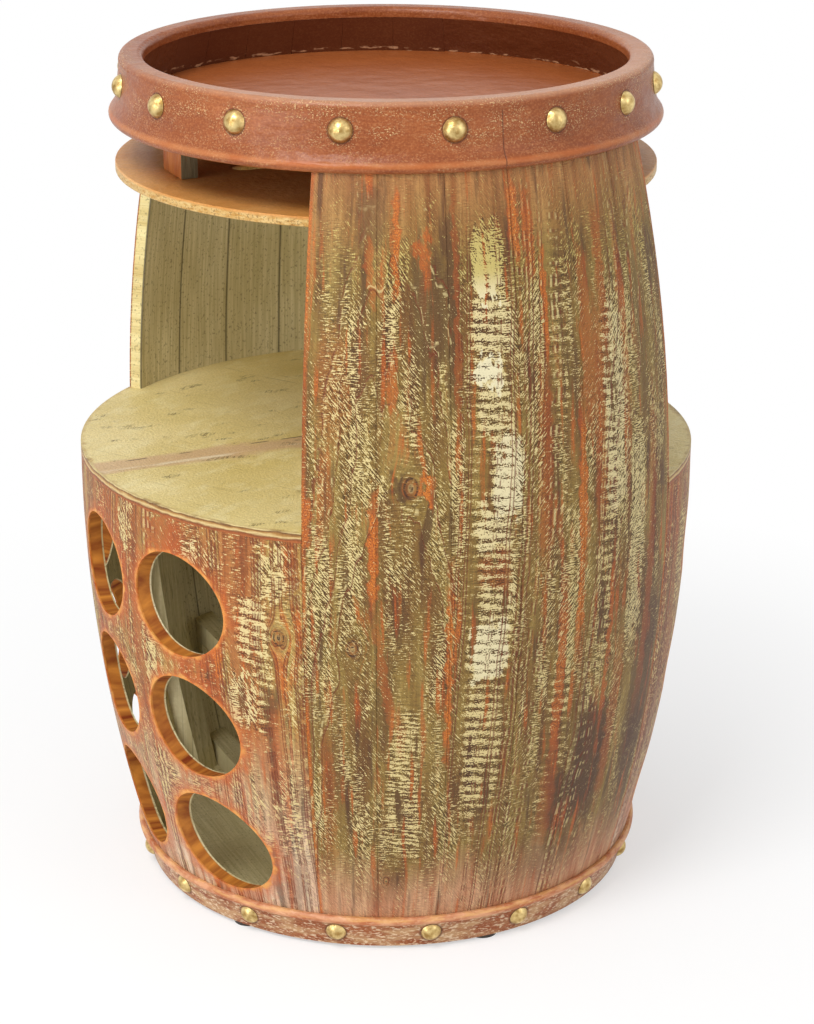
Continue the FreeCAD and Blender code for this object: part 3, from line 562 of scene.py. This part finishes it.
    # Ring lines gouged red-brown with a pale burr beside them, and knots with their rings.
    chosen = put("Math", sway, 0.3, operation="MULTIPLY")
    chosen = put("Math", ring, 0.7, chosen, operation="MULTIPLY_ADD")
    chosen = put("MapRange", chosen, 0.6, 0.67)
    below_head = put("Math", head, -0.8, 1, operation="MULTIPLY_ADD")
    chosen = put("Math", chosen, below_head, operation="MULTIPLY")
    gouge = put("MapRange", near_ring, 1.3 * MM, 0.5 * MM)
    gouge = put("Math", gouge, chosen, operation="MULTIPLY")
    rings = put("Math", put("Math", knot, KNOT_RINGS, operation="MULTIPLY"), operation="SINE")
    round_knot = put("MapRange", knot, 1.9, 1)
    rings = put("Math", put("MapRange", rings, -0.2, 0.9), round_knot, operation="MULTIPLY")
    rings = put("Math", rings, put("MapRange", dashes, 0.25, 0.6), operation="MULTIPLY")
    colour = tint(put, colour, put("MapRange", knot, 1.4, 0.3), "#8a4a1c", 0.6)
    colour = tint(put, colour, put("MapRange", knot, 0.5, 0.3), "#b39a63", 0.7)
    colour = tint(put, colour, gouge, "#6a2a12", 0.7)
    colour = tint(put, colour, rings, "#3c2213", 0.9)
    gouge = put("Math", gouge, rings, operation="MAXIMUM")
    raised = put("Math", chosen, put("MapRange", sway, 0.5, 0.7), operation="MULTIPLY")
    burr = stripe(put, near_ring, 2.2 * MM, 0.8 * MM, 0.2 * MM)
    burr = put("Math", burr, raised, operation="MULTIPLY")
    colour = tint(put, colour, burr, "#d3bf86", 0.6)
    relief = put("Math", emboss, 0.9, operation="MULTIPLY")
    relief = put("Math", gouge, -0.7, relief, operation="MULTIPLY_ADD")
    return place, flat, colour, relief, cream


def painted_wood(put, colour, relief, rough, depth=0.5 * MM):
    """Satin paint on wood: its colour, its gloss, and a relief of a real depth."""
    bump = put("Bump", Strength=1, Distance=depth, Height=relief)
    return put("BsdfPrincipled", Base_Color=colour, Roughness=rough, Normal=bump,
               Specular_IOR_Level=0.3)


def sawn_wood(put, colour, relief, smooth, cream):
    """Sawn wood under its paint: the relief ends where a mask says that the face is smooth, and
    the cream is a little duller than the rest."""
    rough_face = put("Math", 1, smooth, operation="SUBTRACT")
    relief = put("Math", relief, rough_face, operation="MULTIPLY")
    return painted_wood(put, colour, relief, put("MapRange", cream, 0, 1, 0.48, 0.6))


def wall_surface(put):
    """Walls: distressed paint on sawn fir outside, with edges rubbed pale, smooth olive paint
    inside, and terracotta inside the tray, darkened partly for its own paint and partly as painted
    shade."""
    place, flat, colour, relief, cream = sawn_paint(put, "Hand", WALL)
    where = put("TexCoord", out="Object")
    depth, height = place["Depth"], place["Height"]
    seam = put("Math", stave_seams(put, place["Angle"], 1.4 * MM),
               clouds(put, flat, (60 * MM, 50 * MM, 1), Detail=2), operation="MULTIPLY")
    colour = tint(put, colour, seam, "#4a2c12", 0.4)
    wear = clouds(put, flat, (5 * MM, 9 * MM, 0.3), Detail=4)
    rubbed = put("MixRGB", wear, "#c9b272", "#e3d49a")
    specks = clouds(put, where, (2 * MM, 2 * MM, 3 * MM), low=0.6, high=0.7, Detail=1)
    rubbed = tint(put, rubbed, specks, "#4a3a1e", 0.45)
    colour = put("MixRGB", put("MapRange", depth, *CUT_EDGE), colour, rubbed)
    inside = put("MapRange", depth, *INNER_FACE)
    colour = put("MixRGB", inside, colour, jointed_olive_coat(put, place, flat))
    # Inside the tray the staves' inner faces take the tray's darkened terracotta, partly painted
    # shade.
    above = put("Math", height, TRAY_FLOOR_TOP - 2 * MM, operation="GREATER_THAN")
    in_tray = put("Math", above, inside, operation="MULTIPLY")
    colour = put("MixRGB", in_tray, colour, tray_wall_coat_with_painted_shade(put, where, height))
    return sawn_wood(put, colour, relief, inside, cream)


def from_bore(put, value, start, first, last):
    """Distance along one direction from the nearest bore's axis. The bores stand at one pitch
    from a start, and have numbers."""
    number = put("Math", value, start, operation="SUBTRACT")
    number = put("Math", number, BORE_PITCH, operation="DIVIDE")
    number = put("Math", put("Math", number, operation="ROUND"), first, operation="MAXIMUM")
    number = put("Math", number, last, operation="MINIMUM")
    axis = put("Math", number, BORE_PITCH, start, operation="MULTIPLY_ADD")
    return put("Math", value, axis, operation="SUBTRACT")


def panel_surface(put):
    """Bored side panels: distressed paint on sawn fir outside, rubbed to orange round the bores,
    bare stained wood in the bores, and smooth olive paint inside."""
    place, flat, colour, relief, cream = sawn_paint(put, "Side", PANEL)
    depth = place["Depth"]
    _, y, z = put("SeparateXYZ", put("TexCoord", out="Object")).node.outputs
    off_axis = put("CombineXYZ", from_bore(put, y, 0, -1, 1), from_bore(put, z, LOW_ROW, 0, 2))
    from_axis = put("VectorMath", off_axis, operation="LENGTH", out="Value")
    wobble = clouds(put, flat, (10 * MM, 10 * MM, 0.3), Detail=4)
    glow = put("MapRange", put("Math", wobble, -9 * MM, from_axis, operation="MULTIPLY_ADD"),
               BORE_RADIUS + 9 * MM, BORE_RADIUS - 4 * MM)
    colour = tint(put, colour, glow, "#b8551a", 0.6)
    lip = put("MapRange", put("Math", wobble, -3 * MM, from_axis, operation="MULTIPLY_ADD"),
              BORE_RADIUS + 2 * MM, BORE_RADIUS - 1 * MM)
    colour = tint(put, colour, lip, put("MixRGB", wobble, "#c8601c", "#e0a050"), 0.85)
    bore = put("MapRange", depth, *CUT_EDGE)
    bare = put("MixRGB", clouds(put, flat, (6 * MM, 14 * MM, 0.3), Detail=4), "#7a3110", "#cd8434")
    colour = put("MixRGB", bore, colour, bare)
    inside = put("MapRange", depth, *INNER_FACE)
    colour = put("MixRGB", inside, colour, jointed_olive_coat(put, place, flat))
    return sawn_wood(put, colour, relief, bore, cream)


def tray_wall_coat_with_painted_shade(put, where, height):
    """Inner wall of the tray: terracotta darkened, partly for its own darker paint and partly as
    painted shade inside the tray, scraped to a pale line along the floor.
    """
    colour = tint(put, terracotta_coat(put, where), 0.74, "#401606")
    wander = clouds(put, where, (30 * MM, 30 * MM, 8 * MM), Detail=3)
    wander = put("Math", wander, 5 * MM, operation="MULTIPLY")
    above_floor = put("Math", height, TRAY_FLOOR_TOP, operation="SUBTRACT")
    scrape = stripe(put, above_floor, wander, 1.6 * MM, 0.4 * MM)
    broken = clouds(put, where, (9 * MM, 9 * MM, 3 * MM), low=0.5, high=0.6, Detail=2)
    return tint(put, colour, put("Math", scrape, broken, operation="MULTIPLY"), "#c89a74", 0.8)


def tray_surface(put):
    """Tray, rim and hoop: terracotta paint over filled and sanded wood, softly glossy over low
    lumps, and flecked cream where it was rubbed."""
    where = put("TexCoord", out="Object")
    place = put("Group", node_tree=PLACE).node.outputs
    angle, height, depth = place["Angle"], place["Height"], place["Depth"]
    outside = put("MapRange", depth, 3 * MM, 0)
    enclosed = put("MapRange", depth, *INSIDE_RIM)
    colour = terracotta_coat(put, where)

    # Cream flecks, most of them on the hoop's upper part and round the nails.
    flecks = clouds(put, where, (1.5 * MM, 1.5 * MM, 1 * MM), low=0.57, high=0.64, Detail=2)
    zones = clouds(put, where, (40 * MM, 40 * MM, 14 * MM), low=0.42, high=0.6, Detail=3)
    upper = put("MapRange", height, TRAY_NAIL_HEIGHT - 16 * MM, TRAY_NAIL_HEIGHT - 2 * MM, 0.35, 1)
    near_nail = ringed(put, angle, height, TRAY_NAIL_COUNT, TRAY_NAIL_TURN, TRAY_NAIL_HEIGHT,
                       TRAY_NAIL_RADIUS)
    round_nail = put("MapRange", near_nail, 18 * MM, 10 * MM)
    zones = put("Math", zones, upper, operation="MULTIPLY")
    zones = put("Math", zones, round_nail, operation="MAXIMUM")
    flecks = put("Math", flecks, zones, operation="MULTIPLY")
    flecks = put("Math", flecks, outside, operation="MULTIPLY")
    colour = tint(put, colour, flecks, "#dfbb86", 0.7)

    # The bead at the hoop's foot is painted lighter along its crest as a painted highlight, paler
    # in
    #     the rubbed zones, and a dark seat shows round each nail.
    bead_highlight = stripe(put, height, TRAY_HOOP_FOOT + 6 * MM, 3 * MM, 1 * MM)
    bead_highlight = put("Math", bead_highlight, outside, operation="MULTIPLY")
    colour = tint(put, colour, bead_highlight, put("MixRGB", zones, "#b5622e", "#cf9a66"), 0.6)
    seat = put("Math", put("MapRange", near_nail, 11 * MM, 9.8 * MM), outside, operation="MULTIPLY")
    colour = tint(put, colour, seat, "#4f2712", 0.7)

    # The hoop's butt joint, a dark line a little off the middle of the near wall.
    joint = stripe(put, angle, HOOP_JOINT_ANGLE,
                   0.7 * MM / HOOP_JOINT_RADIUS, 0.2 * MM / HOOP_JOINT_RADIUS)
    below_rim = put("Math", height, STAVE_TOP, operation="LESS_THAN")
    on_hoop = put("Math", outside, below_rim, operation="MULTIPLY")
    joint = put("Math", joint, on_hoop, operation="MULTIPLY")
    colour = tint(put, colour, joint, "#4a2211", 0.55)

    # The rim's top is dry-brushed paler and painted lighter as a highlight on the near side, fading
    #     out towards the far side, and the floor is brushed warmer.
    crest = put("MapRange", height, STAVE_TOP + 5 * MM, STAVE_TOP + 8 * MM)
    near_side_highlight = put("MapRange", put("SeparateXYZ", where, out="Y"), 100 * MM, -150 * MM)
    colour = tint(put, colour, put("Math", crest, near_side_highlight, operation="MULTIPLY"), "#e2b592", 0.3)
    floor_top = TRAY_FLOOR_TOP + 0.5 * MM
    on_floor = put("Math", height, floor_top, operation="LESS_THAN")
    on_floor = put("Math", enclosed, on_floor, operation="MULTIPLY")
    colour = tint(put, colour, on_floor, "#a85a28", 0.4)
    # The tray's inner wall, above the floor and below the rim, takes darkened terracotta: partly
    # painted shade.
    above_floor = put("Math", height, floor_top, operation="GREATER_THAN")
    walled = put("Math", enclosed, above_floor, operation="MULTIPLY")
    below_rim = put("Math", height, STAVE_TOP - 0.5 * MM, operation="LESS_THAN")
    walled = put("Math", walled, below_rim, operation="MULTIPLY")
    colour = put("MixRGB", walled, colour, tray_wall_coat_with_painted_shade(put, where, height))

    lumps = clouds(put, where, (24 * MM, 24 * MM, 12 * MM), Detail=3)
    relief = put("Math", flecks, 0.3, lumps, operation="MULTIPLY_ADD")
    relief = put("Math", joint, -0.5, relief, operation="MULTIPLY_ADD")
    return painted_wood(put, colour, relief, 0.36, 0.8 * MM)


def base_surface(put):
    """Base hoop: terracotta and ochre paint over filled wood, a satin face with pale flecks, and a
    painted highlight over its bead, lightest along its top."""
    where = put("TexCoord", out="Object")
    place = put("Group", node_tree=PLACE).node.outputs
    angle, height = place["Angle"], place["Height"]
    colour = terracotta_coat(put, where)
    ochre = clouds(put, where, (26 * MM, 26 * MM, 7 * MM), low=0.42, high=0.62, Detail=4)
    colour = tint(put, colour, ochre, "#c29c70", 0.75)
    flecks = clouds(put, where, (4 * MM, 4 * MM, 1.6 * MM), low=0.53, high=0.63, Detail=2)
    colour = tint(put, colour, flecks, "#e6cfae", 0.65)
    # Painted highlight: the bead is painted lighter, and its top lighter still, the gleam.
    bead_highlight = put("MapRange", height, BASE_HOOP_TOP - 8 * MM, BASE_HOOP_TOP - 6 * MM)
    colour = tint(put, colour, bead_highlight, put("MixRGB", ochre, "#b97048", "#d89a74"), 0.75)
    gleam = put("MapRange", height, BASE_HOOP_TOP - 4 * MM, BASE_HOOP_TOP - 2 * MM)
    broken = clouds(put, where, (20 * MM, 20 * MM, 3 * MM), low=0.45, high=0.6, Detail=3)
    colour = tint(put, colour, put("Math", gleam, broken, operation="MULTIPLY"), "#e0b06c", 0.5)
    near_nail = ringed(put, angle, height, BASE_NAIL_COUNT, BASE_NAIL_TURN, BASE_NAIL_HEIGHT,
                       BASE_NAIL_RADIUS)
    colour = tint(put, colour, put("MapRange", near_nail, 10.4 * MM, 9 * MM), "#5e3418", 0.7)
    lumps = clouds(put, where, (16 * MM, 16 * MM, 8 * MM), Detail=3)
    return painted_wood(put, colour, lumps, 0.45, 0.6 * MM)


def shelf_surface(put):
    """Shelf: olive-yellow paint with a satin gloss over fine grain, scraped and scratched, with
    the filled joint's pale smear and rubbed edges."""
    where = put("TexCoord", out="Object")
    _, y, z = put("SeparateXYZ", where).node.outputs
    drift = clouds(put, where, (120 * MM, 90 * MM, 1), Detail=3)
    colour = put("MixRGB", drift, "#d3be76", "#e8d79c")
    fine = clouds(put, where, (2 * MM, 2 * MM, 1), Detail=3)
    colour = tint(put, colour, fine, "#94824a", 0.22)
    smears = clouds(put, where, (26 * MM, 11 * MM, 1), math.radians(30), 0.5, 0.7, Detail=4)
    colour = tint(put, colour, smears, "#eadfae", 0.45)

    # Filler rubbed over the joint between the boards, with a white streak and a dark arris in it.
    wavy = clouds(put, where, (50 * MM, 20 * MM, 1), Detail=3)
    wavy = put("Math", wavy, 12 * MM, operation="MULTIPLY")
    off = put("Math", put("Math", y, operation="ABSOLUTE"), wavy, operation="ADD")
    colour = tint(put, colour, put("MapRange", off, 25 * MM, 17 * MM), "#c6a27c", 0.8)
    streak = stripe(put, y, -7 * MM, 5 * MM, 1 * MM)
    broken = clouds(put, where, (40 * MM, 5 * MM, 1), low=0.45, high=0.65, Detail=3)
    colour = tint(put, colour, put("Math", streak, broken, operation="MULTIPLY"), "#ece2c4", 0.7)
    arris = stripe(put, y, 12 * MM, 1.4 * MM, 0.4 * MM)
    broken = clouds(put, where, (30 * MM, 200 * MM, 1), low=0.52, high=0.56, Detail=2)
    colour = tint(put, colour, put("Math", arris, broken, operation="MULTIPLY"), "#4c3c1e", 0.85)

    # Cross-hatched scrapes and long scratches.
    hatch_size = (7 * MM, 0.9 * MM, 1)
    scraped = clouds(put, where, (34 * MM, 14 * MM, 1), low=0.62, high=0.7, Detail=2)
    hatch = clouds(put, where, hatch_size, math.radians(50), low=0.5, high=0.6, Detail=1)
    crossed = clouds(put, where, hatch_size, math.radians(-40), low=0.55, high=0.65, Detail=1)
    hatch = put("Math", hatch, crossed, operation="MAXIMUM")
    colour = tint(put, colour, put("Math", hatch, scraped, operation="MULTIPLY"), "#5f4c22", 0.8)
    scratches = clouds(put, where, (60 * MM, 0.9 * MM, 1), math.radians(-55), 0.66, 0.76, Detail=2)
    colour = tint(put, colour, scratches, "#7a6634", 0.7)

    # The rim is rubbed, and the edge is painted like the panels, in pale and dark strips.
    depth = put("Group", node_tree=PLACE).node.outputs["Depth"]
    edge = clouds(put, where, (14 * MM, 14 * MM, 3 * MM), Detail=4)
    worn = put("MapRange", put("Math", edge, -7 * MM, depth, operation="MULTIPLY_ADD"), 0, -4 * MM)
    colour = tint(put, colour, worn, put("MixRGB", fine, "#8a5f2c", "#c9ac6c"), 0.75)
    sunk = put("Math", SHELF_TOP, z, operation="SUBTRACT")
    sunk = put("Math", sunk, put("Math", edge, 1.6 * MM, operation="MULTIPLY"), operation="ADD")
    strips = put("ValToRGB", put("MapRange", sunk, 0, 10 * MM), stops=(
        (0.1, "#cdb880"), (0.2, "#6a4422"), (0.34, "#a5793f"),
        (0.5, "#d0b67e"), (0.66, "#7a4420"), (0.85, "#a25a2c"),
    ))
    colour = put("MixRGB", put("MapRange", depth, 1.6 * MM, 0.6 * MM), colour, strips)
    return painted_wood(put, colour, fine, 0.46, 0.35 * MM)


def inside_surface(put):
    """Inner frame pieces: olive paint brushed along smooth wood, nearly matt."""
    where = put("TexCoord", out="Object")
    brushed = clouds(put, where, (40 * MM, 3 * MM, 3 * MM), Detail=3)
    colour = tint(put, olive_coat(put, where), brushed, "#bcae80", 0.4)
    return painted_wood(put, colour, brushed, 0.55, 0.2 * MM)


def glass_board_surface(put):
    """Slotted board under the tray: gritty orange-brown stain with a satin gloss, rubbed to cream
    on its edge."""
    where = put("TexCoord", out="Object")
    drift = clouds(put, where, (90 * MM, 60 * MM, 1), Detail=4)
    colour = put("MixRGB", drift, "#c5853f", "#deaa68")
    grit = clouds(put, where, (1.6 * MM, 1.6 * MM, 1.6 * MM), Detail=1)
    colour = tint(put, colour, grit, "#9a6228", 0.3)
    rub = clouds(put, where, (6 * MM, 6 * MM, 2 * MM), Detail=4)
    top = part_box("glass_board")[1].z
    edge = put("MapRange", put("SeparateXYZ", where, out="Z"), top - 1 * MM, top - 2.5 * MM)
    colour = tint(put, colour, edge, put("MixRGB", rub, "#b3843a", "#d2b67a"), 0.9)
    specks = clouds(put, where, (1.6 * MM, 1.6 * MM, 1.4 * MM), low=0.56, high=0.66, Detail=1)
    colour = tint(put, colour, put("Math", edge, specks, operation="MULTIPLY"), "#6e4a1e", 0.6)
    return painted_wood(put, colour, rub, 0.42, 0.3 * MM)


def spacer_surface(put):
    """Spacer blocks: satin orange-brown paint, and olive paint on the faces towards the walls,
    darkened there as painted shade.
    """
    where = put("TexCoord", out="Object")
    sideways = put("SeparateXYZ", put("NewGeometry", out="Normal"), out="Y")
    aside = put("Math", put("Math", sideways, operation="ABSOLUTE"), 0.7, operation="GREATER_THAN")
    warm = clouds(put, where, (12 * MM, 12 * MM, 20 * MM), Detail=3)
    warm = put("MixRGB", warm, "#a5561f", "#c27636")
    # Painted shade: the olive faces towards the walls are darkened.
    shaded = tint(put, olive_coat(put, where), 0.75, "#3d3119")
    grain = clouds(put, where, (3 * MM, 3 * MM, 16 * MM), Detail=3)
    return painted_wood(put, put("MixRGB", aside, warm, shaded), grain, 0.48, 0.3 * MM)


def brass_surface(put):
    """Antique brass dome nails: satin metal with soft gleams, browned in patches."""
    where = put("TexCoord", out="Object")
    patina = clouds(put, where, (5 * MM, 5 * MM, 5 * MM), Detail=4)
    colour = put("MixRGB", patina, "#a5834a", "#ecd292")
    bump = put("Bump", Strength=1, Distance=0.15 * MM, Height=patina)
    return put("BsdfPrincipled", Base_Color=colour, Metallic=1, Normal=bump,
               Roughness=put("MapRange", patina, 0, 1, 0.46, 0.32))


def steel_surface(put):
    """Countersunk steel screws, stopped and painted over: satin olive-yellow, dark in spots."""
    patina = clouds(put, put("TexCoord", out="Object"), (2 * MM, 2 * MM, 2 * MM), Detail=2)
    colour = put("MixRGB", put("MapRange", patina, 0.1, 0.35), "#7f6b3e", "#cdb778")
    return painted_wood(put, colour, patina, 0.5, 0.2 * MM)


def glide_surface(put):
    """Dark moulded plastic glides: matt, with a moulded grain drawn coarser than it is, to show."""
    grain = clouds(put, put("TexCoord", out="Object"), (1 * MM, 1 * MM, 1 * MM), Detail=1)
    bump = put("Bump", Strength=1, Distance=0.05 * MM, Height=grain)
    colour = put("MixRGB", grain, "#2c2823", "#38332d")
    return put("BsdfPrincipled", Base_Color=colour, Roughness=0.6, Normal=bump)


PLACE = barrel_place()
FINISHES = {
    "wall_paint": new_finish("distressed_paint_on_sawn_fir", wall_surface),
    "panel_paint": new_finish("distressed_paint_on_bored_fir", panel_surface),
    "tray_paint": new_finish("terracotta_paint", tray_surface),
    "base_paint": new_finish("terracotta_and_ochre_paint", base_surface),
    "shelf_paint": new_finish("olive_yellow_paint", shelf_surface),
    "inside_paint": new_finish("olive_paint", inside_surface),
    "glass_board_paint": new_finish("orange_brown_stain", glass_board_surface),
    "spacer_paint": new_finish("orange_brown_paint", spacer_surface),
    "nail_brass": new_finish("antique_brass", brass_surface),
    "screw_steel": new_finish("painted_steel", steel_surface),
    "glide_plastic": new_finish("moulded_black_plastic", glide_surface),
}
# The filled joint is painted over with the shelf.
FINISHES["filler_paste"] = FINISHES["shelf_paint"]


def soften(piece, width):
    """Eases the arrises of a node and gives it smooth, face-weighted shading."""
    weld = piece.modifiers.new("weld", "WELD")
    weld.merge_threshold = WELD_DISTANCE
    bevel = piece.modifiers.new("eased_edges", "BEVEL")
    bevel.width = width
    bevel.segments = 2
    bevel.limit_method = "ANGLE"
    bevel.angle_limit = EASED_ANGLE
    piece.modifiers.new("shading", "WEIGHTED_NORMAL")


for subpart in frame["record"]["subparts"]:
    node, slot = nodes[subpart["node"]], subpart["material_slot"]
    node.data.materials.clear()
    node.data.materials.append(FINISHES[slot])
    if slot in EASED:
        soften(node, EASED[slot])


def seen(put):
    """1 for what shows to the camera, in glossy faces and through clear ones, 0 for the light that
    reaches the object."""
    rays = put("LightPath").node.outputs
    shown = put("Math", rays["Is Camera Ray"], rays["Is Glossy Ray"], operation="MAXIMUM")
    return put("Math", shown, rays["Is Transmission Ray"], operation="MAXIMUM")


def floor_surface(put):
    """White floor: it takes a faint shadow near the object and is as white as the backdrop
    further off."""
    away = put("VectorMath", put("TexCoord", out="Object"), operation="LENGTH", out="Value")
    white = put("MapRange", away, *SHADOW_FADE, NEAR_WHITE, 1)
    return put("MixShader", put("Math", seen(put), white, operation="MULTIPLY"),
               put("BsdfDiffuse", "#f7f7f7"), put("Emission", "#ffffff", 1))


def floor_square():
    """Square floor, facing up."""
    half = FLOOR_SIZE / 2
    corners = [(-half, -half, 0), (half, -half, 0), (half, half, 0), (-half, half, 0)]
    mesh = bpy.data.meshes.new("floor")
    mesh.from_pydata(corners, [], [(0, 1, 2, 3)])
    floor = bpy.data.objects.new("floor", mesh)
    bpy.context.scene.collection.objects.link(floor)
    return floor


def stage():
    """Floor, backdrop colour, lamps and the photograph's camera."""
    floor = floor_square()
    floor.data.materials.append(new_finish("white_floor", floor_surface))

    world = bpy.data.worlds.new("white_studio")
    bpy.context.scene.world = world
    world.use_nodes = True
    world.node_tree.nodes.clear()
    put = partial(add, world.node_tree)
    strength = put("MapRange", seen(put), 0, 1, BACKDROP_LIGHT, 1)
    put("OutputWorld", put("Background", "#ffffff", strength))

    for name, (place, size, power) in LAMPS.items():
        lamp = bpy.data.lights.new(name, "AREA")
        lamp.size = size
        lamp.energy = power
        thing = bpy.data.objects.new(name, lamp)
        thing.location = place
        beam = Vector(LAMP_AIM) - Vector(place)
        thing.rotation_euler = beam.to_track_quat("-Z", "Y").to_euler()
        bpy.context.scene.collection.objects.link(thing)

    aim = Vector((math.sin(CAMERA_YAW) * math.cos(CAMERA_PITCH),
                  math.cos(CAMERA_YAW) * math.cos(CAMERA_PITCH), -math.sin(CAMERA_PITCH)))
    right = Vector((math.cos(CAMERA_YAW), -math.sin(CAMERA_YAW), 0))
    up = right.cross(aim)
    lens = bpy.data.cameras.new("camera")
    lens.sensor_width = SENSOR
    lens.lens = FOCAL_PIXELS / FRAME_HEIGHT * SENSOR
    camera = bpy.data.objects.new("camera", lens)
    rolled_right = right * math.cos(CAMERA_ROLL) + up * math.sin(CAMERA_ROLL)
    rolled_up = up * math.cos(CAMERA_ROLL) - right * math.sin(CAMERA_ROLL)
    turn = Matrix((rolled_right, rolled_up, -aim)).transposed().to_4x4()
    spot = Matrix.Translation((0, -CAMERA_DISTANCE, CAMERA_HEIGHT))
    camera.matrix_world = Matrix.Rotation(-BARREL_TURN, 4, "Z") @ spot @ turn
    bpy.context.scene.collection.objects.link(camera)
    bpy.context.scene.camera = camera
    bpy.context.scene.view_settings.view_transform = "Standard"


stage()
